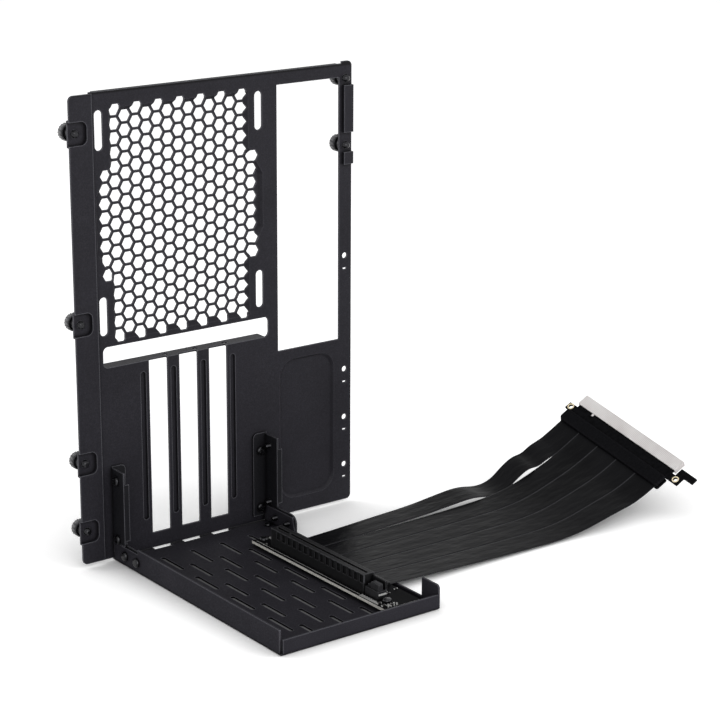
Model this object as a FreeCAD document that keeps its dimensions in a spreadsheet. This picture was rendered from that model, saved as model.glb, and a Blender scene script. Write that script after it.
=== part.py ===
import FreeCAD, Part
import math
import os

import Sketcher
from FreeCAD import Placement, Rotation, Vector

# Upright card bracket: a rear panel with a fan grille, a vented tray, a riser slot and its flat cable.
# Every piece is drawn from the panel's left bend line (X), its front face (Y) and the tray's underside (Z).
# The datum sizes then move each piece so that the origin is on the tray's underside.

SIZES = [
    ("datum_x", -64.2, "bend line of the panel to the origin"),
    ("datum_y", 84.0, "front face of the panel to the origin"),
    ("sheet", 1.0, "thickness of every sheet"),
    ("panel_width", 177.0, "rear panel, bend line to right edge"),
    ("panel_low", 1.4, "bottom edge of the rear panel"),
    ("panel_top", 271.7, "top edge of the rear panel"),
    ("column_rise", 1.3, "column above the top edge"),
    ("column_width", 9.09, "strip right of the port opening"),
    ("top_lip", 3.0, "rearward fold along the top edge"),
    ("top_lip_inset", 2.7, "rearward fold right of the bend line"),
    ("relief", 1.7, "saw cut beside the top fold"),
    ("port_width", 44.45, "port opening"),
    ("port_height", 158.75, "port opening"),
    ("port_low", 104.9, "bottom of the port opening"),
    ("flange_width", 13.5, "left flange"),
    ("flange_step", 1.5, "left flange in front of the panel"),
    ("flange_short", 0.6, "left flange shorter than the panel at each end"),
    ("dimple_width", 11.0, "screw seat in the left flange"),
    ("dimple_height", 13.0, "screw seat in the left flange"),
    ("dimple_depth", 2.0, "screw seat behind the flange"),
    ("seat_corner", 3.5, "inner corners of a screw seat"),
    ("sheet_corner", 3.0, "rounded corners of the sheets"),
    ("thumb_hole", 4.4, "hole for a thumb screw"),
    ("thumb_inset", 9.4, "thumb screws left of the bend line"),
    ("column_screw_x", 172.3, "thumb screws in the column"),
    ("grille_x", 58.05, "centre of the fan grille"),
    ("grille_z", 196.5, "centre of the fan grille"),
    ("hex_pitch", 8.0, "hexagons, one above the other"),
    ("hex_flats", 6.5, "hexagon across its flats"),
    ("fan_hole_pitch", 105.0, "fan screw slots"),
    ("fan_slot_z", 197.75, "centre of the fan screw slots"),
    ("fan_slot_length", 22.3, "fan screw slots"),
    ("fan_slot_width", 5.0, "fan screw slots"),
    ("recess_depth", 2.0, "grille field behind the panel face"),
    ("recess_half_width", 45.65, "grille field"),
    ("recess_bulge", 55.45, "grille field at its middle"),
    ("recess_high", 262.0, "top of the grille field"),
    ("recess_low", 130.6, "bottom of the grille field"),
    ("bulge_half_height", 16.0, "upright side of the bulge"),
    ("bulge_slope", 15.8, "height of the slanted side of the bulge"),
    ("draft", 45.0, "slope of drawn walls, degrees"),
    ("vent_left", 4.5, "long slot above the card slots"),
    ("vent_right", 116.5, "long slot above the card slots"),
    ("vent_high", 127.4, "long slot above the card slots"),
    ("shelf_z", 115.3, "top face of the card shelf"),
    ("shelf_depth", 9.0, "card shelf behind the panel"),
    ("shelf_margin", 0.6, "card shelf inside the long slot"),
    ("card_pitch", 20.32, "card slots"),
    ("card_left", 34.155, "first card slot"),
    ("card_width", 12.26, "card slots"),
    ("card_low", 10.58, "bottom of the card slots"),
    ("card_bite", 1.2, "card slot cut into the shelf"),
    ("card_screw", 3.6, "card screw hole"),
    ("card_screw_gap", 1.5, "card screw hole right of its slot"),
    ("card_screw_y", 4.9, "card screw hole behind the panel"),
    ("groove_width", 3.4, "pressed groove"),
    ("groove_low", 19.6, "pressed groove"),
    ("groove_high", 109.0, "pressed groove"),
    ("groove_depth", 1.2, "pressed groove"),
    ("pan_left", 124.6, "pressed pan"),
    ("pan_right", 164.4, "pressed pan"),
    ("pan_low", 10.5, "pressed pan"),
    ("pan_high", 98.6, "pressed pan"),
    ("pan_corner", 11.0, "pressed pan"),
    ("pan_depth", 1.5, "pressed pan"),
    ("hook_x", 172.2, "hook holes in the column"),
    ("hook_hole", 3.5, "hook holes"),
    ("hook_gap", 8.0, "hook hole to the slit below it"),
    ("slit_width", 2.6, "slit below a hook hole"),
    ("slit_height", 1.1, "slit below a hook hole"),
    ("tab_left", 170.4, "raised tabs of the column"),
    ("tab_rise", 2.0, "raised tabs in front of the panel"),
    ("tray_left", 7.47, "outer face of the left wall"),
    ("tray_width", 105.63, "tray"),
    ("tray_depth", 167.6, "tray"),
    ("side_height", 14.25, "left wall and front corner"),
    ("front_height", 8.86, "front wall"),
    ("rear_height", 11.5, "walls behind the bracket feet"),
    ("lip_height", 3.2, "low wall under the cable"),
    ("corner_relief", 1.4, "gap between left and front wall"),
    ("corner_length", 14.8, "full height piece of the right wall"),
    ("foot_length", 32.0, "bracket foot in front of the panel"),
    ("foot_height", 12.5, "bracket foot"),
    ("foot_low", 1.3, "bracket foot above the underside"),
    ("foot_rear", 8.5, "left foot in front of the panel"),
    ("seat_gap", 0.3, "left web above the wall of the tray"),
    ("joggle_height", 1.7, "joggle between the left web and its foot"),
    ("foot_gap", 5.5, "full height of the left wall behind the toe of the foot"),
    ("wall_slope", 2.0, "slanted end of the low right wall"),
    ("wall_bevel", 1.5, "front corner of the right wall"),
    ("tray_bend", 0.9, "outer radius of the tray's bends"),
    ("toe_corner", 5.0, "rounded toe of the bracket foot"),
    ("vent_length", 22.5, "tray vent"),
    ("vent_width", 2.6, "tray vent"),
    ("vent_pitch_x", 20.1, "tray vents side by side"),
    ("vent_pitch_y", 35.8, "tray vents one before the other"),
    ("vent_x", 30.3, "first tray vent"),
    ("vent_y", -27.0, "first tray vent"),
    ("vent_shift_x", 8.1, "second set of vents"),
    ("vent_shift_y", -17.9, "second set of vents"),
    ("rear_notch", 2.2, "notches at the rear edge of the tray"),
    ("web_depth", 13.0, "bracket web in front of the panel"),
    ("web_top", 56.0, "bracket web"),
    ("leg_top", 57.0, "bracket leg on the panel"),
    ("leg_low", 5.0, "bracket leg on the panel"),
    ("leg_width", 8.8, "bracket leg on the panel"),
    ("fold_width", 3.6, "stiffening fold of a bracket"),
    ("fold_low", 15.0, "bottom of the stiffening fold"),
    ("fold_top", 49.0, "top of the stiffening fold"),
    ("leg_screw_inset", 3.8, "leg screws beside the web"),
    ("leg_screw_low", 10.2, "lower leg screw"),
    ("leg_screw_high", 46.0, "upper leg screw"),
    ("web_screw_y", -5.6, "web screws"),
    ("web_screw_low", 14.2, "lower web screw"),
    ("web_screw_high", 49.6, "upper web screw"),
    ("foot_screw_z", 6.4, "foot screws"),
    ("foot_screw_first", -13.2, "foot screw near the panel"),
    ("foot_screw_second", -25.7, "foot screw at the toe"),
    ("screw_shank", 3.0, "bracket screws"),
    ("screw_hole", 3.3, "hole for a bracket screw"),
    ("screw_head", 5.4, "bracket screws"),
    ("screw_head_height", 1.8, "bracket screws"),
    ("screw_point", 3.2, "screw past the last sheet"),
    ("thumb_head", 10.2, "thumb screws"),
    ("thumb_head_height", 5.0, "thumb screws"),
    ("thumb_collar", 7.0, "thumb screws"),
    ("thumb_collar_height", 3.4, "thumb screws"),
    ("thumb_shank", 3.5, "thumb screws"),
    ("thumb_point", 3.0, "thumb screw in front of its seat"),
    ("board_left", 82.0, "riser board"),
    ("board_width", 24.6, "riser board"),
    ("board_rear", -31.8, "riser board"),
    ("board_length", 126.7, "riser board"),
    ("board_z", 3.0, "underside of the riser board"),
    ("board_thick", 1.6, "riser board"),
    ("slot_left", 86.0, "slot housing"),
    ("slot_width", 7.5, "slot housing"),
    ("slot_height", 11.2, "slot housing"),
    ("slot_length", 89.0, "slot housing"),
    ("slot_rear", -45.4, "slot housing"),
    ("card_gap", 1.8, "gap that takes the card edge"),
    ("card_gap_depth", 8.0, "gap that takes the card edge"),
    ("card_gap_margin", 1.6, "end wall of the gap"),
    ("contact_thick", 0.3, "contact rows on the walls of the gap"),
    ("contact_margin", 1.0, "contact rows clear of the ends of the gap"),
    ("contact_drop", 2.5, "contact rows below the mouth of the gap"),
    ("key_from_rear", 13.3, "key bridge in the gap"),
    ("key_width", 1.7, "key bridge in the gap"),
    ("rib_pitch", 5.3, "pockets in the housing side"),
    ("rib_count", 16.0, "pockets in the housing side"),
    ("rib_length", 3.4, "pocket in the housing side"),
    ("rib_height", 4.6, "pocket in the housing side"),
    ("rib_depth", 0.6, "pocket in the housing side"),
    ("rib_start", 6.0, "first pocket from the rear end"),
    ("latch_length", 12.0, "retainer at the front end of the slot"),
    ("latch_height", 9.0, "retainer at the front end of the slot"),
    ("latch_width", 6.4, "retainer at the front end of the slot"),
    ("latch_thumb", 3.0, "thumb rest of the retainer"),
    ("spacer_radius", 2.6, "spacer under the board"),
    ("spacer_rear_x", 88.0, "rear spacer"),
    ("spacer_rear_y", -35.0, "rear spacer"),
    ("spacer_front_x", 90.0, "front spacer"),
    ("spacer_front_y", -150.5, "front spacer"),
    ("bar_left", 98.4, "moulded bar over the cable joints"),
    ("bar_width", 7.6, "moulded bar over the cable joints"),
    ("bar_height", 1.8, "moulded bar over the cable joints"),
    ("bar_rear", -45.0, "moulded bar over the cable joints"),
    ("bar_length", 88.0, "moulded bar over the cable joints"),
    ("strip_width", 16.6, "one flat strip of the cable"),
    ("strip_pitch", 16.88, "strips side by side"),
    ("strip_thick", 0.7, "one flat strip of the cable"),
    ("cable_shift", -1.3, "cable beside the middle of the plug"),
    ("plug_x", 315.5, "middle of the plug"),
    ("plug_y", -91.8, "middle of the plug"),
    ("plug_z", 33.0, "middle of the plug"),
    ("shell_left", -45.1, "rear end of the plug shell"),
    ("shell_right", 42.5, "front end of the plug shell"),
    ("shell_back", 8.7, "plug shell behind its front face"),
    ("shell_thick", 2.0, "each half of the plug shell"),
    ("shell_bevel", 1.6, "ends of the plug shell"),
    ("filler_depth", 3.0, "filler between the halves of the shell"),
    ("finger_half", 42.1, "contact edge, half its length"),
    ("finger_front", 14.0, "contact edge in front of the shell"),
    ("shoulder", 5.0, "board edge beside the contacts"),
    ("key_left", 11.7, "key notch from the rear end of the contacts"),
    ("key_notch", 1.9, "key notch"),
    ("key_low", 5.3, "bottom of the key notch"),
    ("ear_rear", -48.7, "rear ear of the plug board"),
    ("ear_front", 51.0, "front ear of the plug board"),
    ("ear_low", 0.1, "back edge of the ears"),
    ("ear_rear_hole", -46.0, "rear ear hole"),
    ("ear_front_hole", 47.7, "front ear hole"),
    ("ear_hole_y", 2.7, "ear holes in front of the shell"),
    ("ear_hole", 2.9, "ear holes of the plug board"),
    ("ear_ring", 4.4, "plated rings round the ear holes"),
    ("hook_left", 45.4, "hook of the plug board"),
    ("hook_right", 58.0, "hook of the plug board"),
    ("hook_low", 6.5, "hook of the plug board"),
    ("hook_high", 10.8, "hook of the plug board"),
    ("cap_gap", 0.15, "cap clear of the contact edge"),
    ("cap_wall", 1.0, "wall of the cap"),
    ("cap_low", 7.0, "rim of the cap"),
]

THUMB_Z = [250.1, 143.1, 61.9, 21.2]
COLUMN_SCREW_Z = [263.0, 223.4]
HOOK_Z = [156.3, 85.4, 54.9, 24.4]
TAB_Z = [(231.0, 259.0), (212.0, 219.3)]

# Middle line of the flat cable from the board to the plug, and how far it leans down towards the front.
CABLE = [((106.6, -88.9, 4.2), 0.0), ((153.0, -88.9, 4.25), 0.045), ((201.0, -89.2, 4.6), 0.08),
         ((243.0, -90.0, 6.0), 0.115), ((277.0, -90.1, 15.9), 0.178)]
CABLE_LAST_RUN = 13.0
STRIPS = 5


class Size:
    """A number together with the sheet expression that gives it."""

    def __init__(self, text, value):
        self.text = text
        self.value = value

    def __add__(self, other):
        other = as_size(other)
        return Size("(%s + %s)" % (self.text, other.text), self.value + other.value)

    def __sub__(self, other):
        other = as_size(other)
        return Size("(%s - %s)" % (self.text, other.text), self.value - other.value)

    def __mul__(self, other):
        other = as_size(other)
        return Size("(%s * %s)" % (self.text, other.text), self.value * other.value)

    def __truediv__(self, other):
        other = as_size(other)
        return Size("(%s / %s)" % (self.text, other.text), self.value / other.value)

    def __radd__(self, other):
        return as_size(other) + self

    def __rsub__(self, other):
        return as_size(other) - self

    def __rmul__(self, other):
        return as_size(other) * self

    def __neg__(self):
        return Size("(-%s)" % self.text, -self.value)

    def __float__(self):
        return float(self.value)


def as_size(number):
    if isinstance(number, Size):
        return number
    return Size("(%r)" % float(number), float(number))


class Sheet:
    """Named sizes, one attribute for each alias of the spreadsheet."""


doc = FreeCAD.newDocument("card_bracket")
sheet = doc.addObject("Spreadsheet::Sheet", "Sizes")
s = Sheet()
for row, (alias, value, meaning) in enumerate(SIZES, start=1):
    sheet.set("A%d" % row, meaning)
    sheet.set("B%d" % row, str(value))
    sheet.setAlias("B%d" % row, alias)
    setattr(s, alias, Size("Sizes." + alias, value))
doc.recompute()

nodes = []


def bind(item, prop, size):
    item.setExpression(prop, as_size(size).text)


def set_datum(item):
    """Move a finished piece from the panel's corner to the origin of the part."""
    bind(item, "Placement.Base.x", s.datum_x)
    bind(item, "Placement.Base.y", s.datum_y)


def keep(item, label):
    item.Label = label
    nodes.append(item)
    return item


# Sketches and features of the folded sheets


def new_body(name):
    body = doc.addObject("PartDesign::Body", name)
    set_datum(body)
    return body


def new_sketch(body, name, role, offset=None):
    sketch = body.newObject("Sketcher::SketchObject", name)
    for plane in body.Origin.OriginFeatures:
        if plane.Role == role:
            sketch.AttachmentSupport = [(plane, "")]
    sketch.MapMode = "FlatFace"
    if offset is not None:
        bind(sketch, "AttachmentOffset.Base.z", offset)
    return sketch


def hold(sketch, rules):
    """Add rules, each a constraint with its size or None, and bind the sizes."""
    numbers = sketch.addConstraint([rule for rule, size in rules])
    for number, (rule, size) in zip(numbers, rules):
        if size is not None:
            sketch.setExpression("Constraints[%d]" % number, size.text)


def pin(index, end, x, y):
    """Rules that hold a point of the sketch at two sizes from its origin."""
    rules = []
    for kind, axis, size in (("DistanceX", -2, as_size(x)), ("DistanceY", -1, as_size(y))):
        if abs(size.value) < 1e-9:
            rules.append((Sketcher.Constraint("PointOnObject", index, end, axis), None))
        else:
            rules.append((Sketcher.Constraint(kind, -1, 1, index, end, size.value), size))
    return rules


def polygon(sketch, points):
    first = sketch.GeometryCount
    count = len(points)
    lines = []
    rules = []
    for i in range(count):
        x0, y0 = points[i]
        x1, y1 = points[(i + 1) % count]
        start = Vector(float(x0), float(y0), 0)
        end = Vector(float(x1), float(y1), 0)
        lines.append(Part.LineSegment(start, end))
        after = first + (i + 1) % count
        rules.append((Sketcher.Constraint("Coincident", first + i, 2, after, 1), None))
        rules += pin(first + i, 1, x0, y0)
    sketch.addGeometry(lines, False)
    hold(sketch, rules)


def rectangle(sketch, x0, x1, y0, y1):
    polygon(sketch, [(x0, y0), (x1, y0), (x1, y1), (x0, y1)])


def joined(first, after):
    """A smooth joint between the end of one curve and the start of the next."""
    return (Sketcher.Constraint("Tangent", first, 2, after, 1), None)


def rounded(sketch, x0, x1, y0, y1, radius):
    """A rectangle with four equal corners."""
    first = sketch.GeometryCount
    radius = as_size(radius)
    left, right, low, high = [float(v) for v in (x0, x1, y0, y1)]
    r = radius.value
    centres = [(x1 - radius, y1 - radius), (x0 + radius, y1 - radius),
               (x0 + radius, y0 + radius), (x1 - radius, y0 + radius)]
    curves = []
    for quarter, (cx, cy) in enumerate(centres):
        circle = Part.Circle(Vector(float(cx), float(cy), 0), Vector(0, 0, 1), r)
        start = quarter * math.pi / 2
        curves.append(Part.ArcOfCircle(circle, start, start + math.pi / 2))
    sides = [((right - r, high), (left + r, high)), ((left, high - r), (left, low + r)),
             ((left + r, low), (right - r, low)), ((right, low + r), (right, high - r))]
    for a, b in sides:
        curves.append(Part.LineSegment(Vector(a[0], a[1], 0), Vector(b[0], b[1], 0)))
    sketch.addGeometry(curves, False)
    rules = [(Sketcher.Constraint("Radius", first, r), radius)]
    for i, (cx, cy) in enumerate(centres):
        rules.append(joined(first + i, first + 4 + i))
        rules.append(joined(first + 4 + i, first + (i + 1) % 4))
        rules += pin(first + i, 3, cx, cy)
        if i:
            rules.append((Sketcher.Constraint("Equal", first, first + i), None))
    hold(sketch, rules)


def obround(sketch, cx, cy, length, width):
    """An upright slot with round ends about its centre."""
    first = sketch.GeometryCount
    radius = as_size(width) / 2
    reach = (as_size(length) - width) / 2
    centres = [(cx, cy + reach), (cx, cy - reach)]
    r = radius.value
    arcs = []
    for half, (px, py) in enumerate(centres):
        circle = Part.Circle(Vector(float(px), float(py), 0), Vector(0, 0, 1), r)
        arcs.append(Part.ArcOfCircle(circle, half * math.pi, (half + 1) * math.pi))
    lines = [Part.LineSegment(arcs[0].EndPoint, arcs[1].StartPoint),
             Part.LineSegment(arcs[1].EndPoint, arcs[0].StartPoint)]
    sketch.addGeometry(arcs + lines, False)
    rules = [(Sketcher.Constraint("Radius", first, r), radius),
             (Sketcher.Constraint("Equal", first, first + 1), None)]
    for half, (px, py) in enumerate(centres):
        rules.append(joined(first + half, first + 2 + half))
        rules.append(joined(first + 2 + half, first + (half + 1) % 2))
        rules += pin(first + half, 3, px, py)
    hold(sketch, rules)


def disc(sketch, cx, cy, diameter):
    radius = as_size(diameter) / 2
    circle = Part.Circle(Vector(float(cx), float(cy), 0), Vector(0, 0, 1), radius.value)
    index = sketch.addGeometry(circle, False)
    hold(sketch, [(Sketcher.Constraint("Radius", index, radius.value), radius)] + pin(index, 3, cx, cy))


def extrude(body, kind, name, sketch, length, reverse=False, draft=None):
    """Pad or pocket a sketch and check that the solid grew or shrank."""
    before = body.Shape.Volume if body.Tip else 0.0
    feature = body.newObject("PartDesign::" + kind, name)
    feature.Profile = sketch
    feature.Reversed = reverse
    bind(feature, "Length", length)
    if draft is not None:
        bind(feature, "TaperAngle", -draft)
    doc.recompute()
    change = body.Shape.Volume - before
    grew = change > 1e-6 if kind == "Pad" else change < -1e-6
    if not grew:
        raise RuntimeError("%s changed the solid by %.4f" % (name, change))
    return feature


def round_edges(body, name, radius, chosen):
    """Fillet the edges whose middle the test picks out."""
    picked = []
    base = body.Tip
    for number, edge in enumerate(base.Shape.Edges, start=1):
        span = (edge.FirstParameter + edge.LastParameter) / 2
        if chosen(edge.valueAt(span), edge.Length):
            picked.append("Edge%d" % number)
    if not picked:
        raise RuntimeError(name + " found no edge")
    fillet = body.newObject("PartDesign::Fillet", name)
    fillet.Base = (base, picked)
    bind(fillet, "Radius", radius)
    doc.recompute()
    if "Invalid" in fillet.State:
        raise RuntimeError(name + " could not be rounded")
    return fillet


# Rear panel: one folded and pressed sheet


def grille_outline(grow):
    """Outline of the grille field, moved outward by a distance."""
    grow = as_size(grow)
    half = s.recess_half_width + grow
    bulge = s.recess_bulge + grow
    flank = s.bulge_half_height + grow * 0.45
    slant = flank + s.bulge_slope
    middle = s.fan_slot_z
    right = [(half, s.recess_low - grow), (half, middle - slant), (bulge, middle - flank),
             (bulge, middle + flank), (half, middle + slant), (half, s.recess_high + grow)]
    points = [(s.grille_x + x, z) for x, z in right]
    points += [(s.grille_x - x, z) for x, z in reversed(right)]
    return points


def panel_sheet():
    body = new_body("panel_sheet")
    thick = s.sheet
    column = s.panel_width - s.column_width

    outline = new_sketch(body, "panel_outline", "XZ_Plane")
    polygon(outline, [(0, s.panel_low), (s.panel_width, s.panel_low),
                      (s.panel_width, s.panel_top + s.column_rise),
                      (column + s.relief, s.panel_top + s.column_rise),
                      (column + s.relief, s.panel_top), (0, s.panel_top)])
    extrude(body, "Pad", "panel_plate", outline, thick, reverse=True)

    # Left flange, a step in front of the panel, with four drawn screw seats
    flange = new_sketch(body, "flange_outline", "XZ_Plane", s.flange_step - thick)
    rectangle(flange, -s.flange_width, thick, s.panel_low + s.flange_short,
              s.panel_top - s.flange_short)
    extrude(body, "Pad", "flange_plate", flange, thick)
    step = new_sketch(body, "flange_step_outline", "XZ_Plane", s.flange_step - thick)
    rectangle(step, 0, thick, s.panel_low + s.flange_short, s.panel_top - s.flange_short)
    extrude(body, "Pad", "flange_step", step, s.flange_step - thick, reverse=True)
    round_edges(body, "flange_corners", s.sheet_corner,
                lambda p, length: p.x < -float(s.flange_width) + 0.1 and length < 1.01)

    seat_back = new_sketch(body, "seat_back_outline", "XZ_Plane", s.flange_step - thick)
    for z in THUMB_Z:
        rectangle(seat_back, -s.flange_width, -s.flange_width + s.dimple_width + thick,
                  z - s.dimple_height / 2 - thick, z + s.dimple_height / 2 + thick)
    extrude(body, "Pad", "seat_backs", seat_back, s.dimple_depth, reverse=True)
    seat = new_sketch(body, "seat_outline", "XZ_Plane", s.flange_step)
    for z in THUMB_Z:
        rectangle(seat, -s.flange_width - thick, -s.flange_width + s.dimple_width,
                  z - s.dimple_height / 2, z + s.dimple_height / 2)
    extrude(body, "Pocket", "seats", seat, s.dimple_depth)
    inner = -float(s.flange_width) + float(s.dimple_width)
    round_edges(body, "seat_corners", s.seat_corner,
                lambda p, length: abs(p.x - inner) < 0.01 and abs(length - float(s.dimple_depth)) < 0.01)

    # Fold along the top edge and the sheet bent back as the card shelf
    top = new_sketch(body, "top_fold_outline", "XZ_Plane", -thick)
    rectangle(top, s.top_lip_inset, column - s.relief / 2, s.panel_top - thick, s.panel_top)
    extrude(body, "Pad", "top_fold", top, s.top_lip - thick, reverse=True)
    shelf = new_sketch(body, "shelf_outline", "XZ_Plane", -thick)
    rectangle(shelf, s.vent_left + s.shelf_margin, s.vent_right - s.shelf_margin * 3,
              s.shelf_z - thick, s.shelf_z)
    extrude(body, "Pad", "card_shelf", shelf, s.shelf_depth - thick, reverse=True)

    # Grille field, pan and grooves are drawn back behind the panel face
    slope = math.radians(s.draft.value)
    bend = thick * ((1 - math.sin(slope)) / math.cos(slope))
    for name, depth in (("field", s.recess_depth), ("pan", s.pan_depth)):
        back = new_sketch(body, name + "_back_outline", "XZ_Plane", -thick)
        front = new_sketch(body, name + "_front_outline", "XZ_Plane")
        if name == "field":
            polygon(back, grille_outline(bend))
            polygon(front, grille_outline(0))
        else:
            rounded(back, s.pan_left - bend, s.pan_right + bend, s.pan_low - bend,
                    s.pan_high + bend, s.pan_corner + bend)
            rounded(front, s.pan_left, s.pan_right, s.pan_low, s.pan_high, s.pan_corner)
        extrude(body, "Pad", name + "_back", back, depth, reverse=True, draft=s.draft)
        extrude(body, "Pocket", name + "_front", front, depth, draft=s.draft)
    groove_z = (s.groove_low + s.groove_high) / 2
    groove_length = s.groove_high - s.groove_low
    groove_x = [s.card_left + s.card_pitch * k - (s.card_pitch - s.card_width) / 2 for k in range(4)]
    back = new_sketch(body, "groove_back_outline", "XZ_Plane", -thick)
    front = new_sketch(body, "groove_front_outline", "XZ_Plane")
    for x in groove_x:
        obround(back, x, groove_z, groove_length + thick, s.groove_width + thick)
        obround(front, x, groove_z, groove_length, s.groove_width)
    extrude(body, "Pad", "groove_backs", back, s.groove_depth, reverse=True)
    extrude(body, "Pocket", "groove_fronts", front, s.groove_depth)

    # Raised tabs of the column, pressed towards the front and open at the right edge
    tab_front = new_sketch(body, "tab_front_outline", "XZ_Plane")
    tab_back = new_sketch(body, "tab_back_outline", "XZ_Plane", -thick)
    for low, high in TAB_Z:
        rectangle(tab_front, s.tab_left, s.panel_width, low, high)
        rectangle(tab_back, s.tab_left + thick, s.panel_width + thick, low + thick, high - thick)
    extrude(body, "Pad", "tab_fronts", tab_front, s.tab_rise)
    extrude(body, "Pocket", "tab_backs", tab_back, s.tab_rise, reverse=True)

    # Openings that go right through
    through = new_sketch(body, "opening_outline", "XZ_Plane", -s.shelf_depth - thick)
    rectangle(through, column - s.port_width, column, s.port_low, s.port_low + s.port_height)
    extrude(body, "Pocket", "port_opening", through, s.shelf_depth + s.flange_step + 3, reverse=True)
    vent = new_sketch(body, "long_slot_outline", "XZ_Plane", -thick)
    rounded(vent, s.vent_left, s.vent_right, s.shelf_z, s.vent_high, s.sheet_corner)
    extrude(body, "Pocket", "long_slot", vent, thick * 2, reverse=True)
    cards = new_sketch(body, "card_slot_outline", "XZ_Plane", -thick - s.card_bite)
    for k in range(3):
        left = s.card_left + s.card_pitch * k
        rectangle(cards, left, left + s.card_width, s.card_low, s.shelf_z + thick / 2)
    extrude(body, "Pocket", "card_slots", cards, thick * 2 + s.card_bite, reverse=True)
    fans = new_sketch(body, "fan_slot_outline", "XZ_Plane", -thick)
    for side in (-1, 1):
        for end in (-1, 1):
            obround(fans, s.grille_x + s.fan_hole_pitch / 2 * side,
                    s.fan_slot_z + s.fan_hole_pitch / 2 * end,
                    s.fan_slot_length, s.fan_slot_width)
    extrude(body, "Pocket", "fan_slots", fans, thick * 2, reverse=True)
    hooks = new_sketch(body, "hook_outline", "XZ_Plane", -thick)
    for z in HOOK_Z:
        disc(hooks, s.hook_x, z, s.hook_hole)
        rectangle(hooks, s.hook_x - s.slit_width / 2, s.hook_x + s.slit_width / 2,
                  z - s.hook_gap - s.slit_height / 2, z - s.hook_gap + s.slit_height / 2)
    extrude(body, "Pocket", "hook_holes", hooks, thick * 2, reverse=True)
    screws = new_sketch(body, "screw_hole_outline", "XZ_Plane", -s.dimple_depth - thick)
    for z in THUMB_Z:
        disc(screws, -s.thumb_inset, z, s.thumb_hole)
    for z in COLUMN_SCREW_Z:
        disc(screws, s.column_screw_x, z, s.thumb_hole)
    for side in (s.tray_left + s.leg_screw_inset, s.tray_left + s.tray_width - s.leg_screw_inset):
        for z in (s.leg_screw_low, s.leg_screw_high):
            disc(screws, side, z, s.screw_hole)
    extrude(body, "Pocket", "screw_holes", screws, s.dimple_depth + thick * 4, reverse=True)
    shelf_holes = new_sketch(body, "shelf_hole_outline", "XY_Plane", s.shelf_z)
    for k in range(3):
        disc(shelf_holes, s.card_left + s.card_width + s.card_screw_gap + s.card_pitch * k,
             s.card_screw_y, s.card_screw)
    extrude(body, "Pocket", "shelf_holes", shelf_holes, thick)
    round_edges(body, "panel_corner", s.sheet_corner,
                lambda p, length: p.x > float(s.panel_width) - 0.1 and abs(length - 1) < 0.01
                and (p.z < float(s.panel_low) + 0.1 or p.z > float(s.panel_top) + 1.0))
    return body


def grille_tool():
    """The hexagons of the grille, worked out column by column."""
    radius = s.hex_flats.value / math.sqrt(3)
    column_pitch = s.hex_pitch.value * math.sqrt(3) / 2
    tall = {0: 17, 1: 16}
    front = -s.sheet.value
    depth = s.recess_depth.value + s.sheet.value * 3
    prisms = []
    for k in range(-7, 8):
        rows = 8 if abs(k) == 7 else tall[abs(k) % 2]
        x = s.grille_x.value + column_pitch * k
        for j in range(rows):
            z = s.grille_z.value + s.hex_pitch.value * (j - (rows - 1) / 2)
            corners = []
            for corner in range(7):
                angle = math.radians(60 * corner)
                corners.append(Vector(x + radius * math.cos(angle), front, z + radius * math.sin(angle)))
            face = Part.Face(Part.makePolygon(corners))
            prisms.append(face.extrude(Vector(0, depth, 0)))
    tool = doc.addObject("Part::Feature", "grille_holes")
    tool.Shape = Part.makeCompound(prisms)
    tool.Placement = Placement(Vector(s.datum_x.value, s.datum_y.value, 0), Rotation())
    return tool


def rear_panel():
    sheet_body = panel_sheet()
    cut = doc.addObject("Part::Cut", "rear_panel_cut")
    cut.Base = sheet_body
    cut.Tool = grille_tool()
    keep(cut, "rear_panel")


# Tray: one folded sheet


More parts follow.
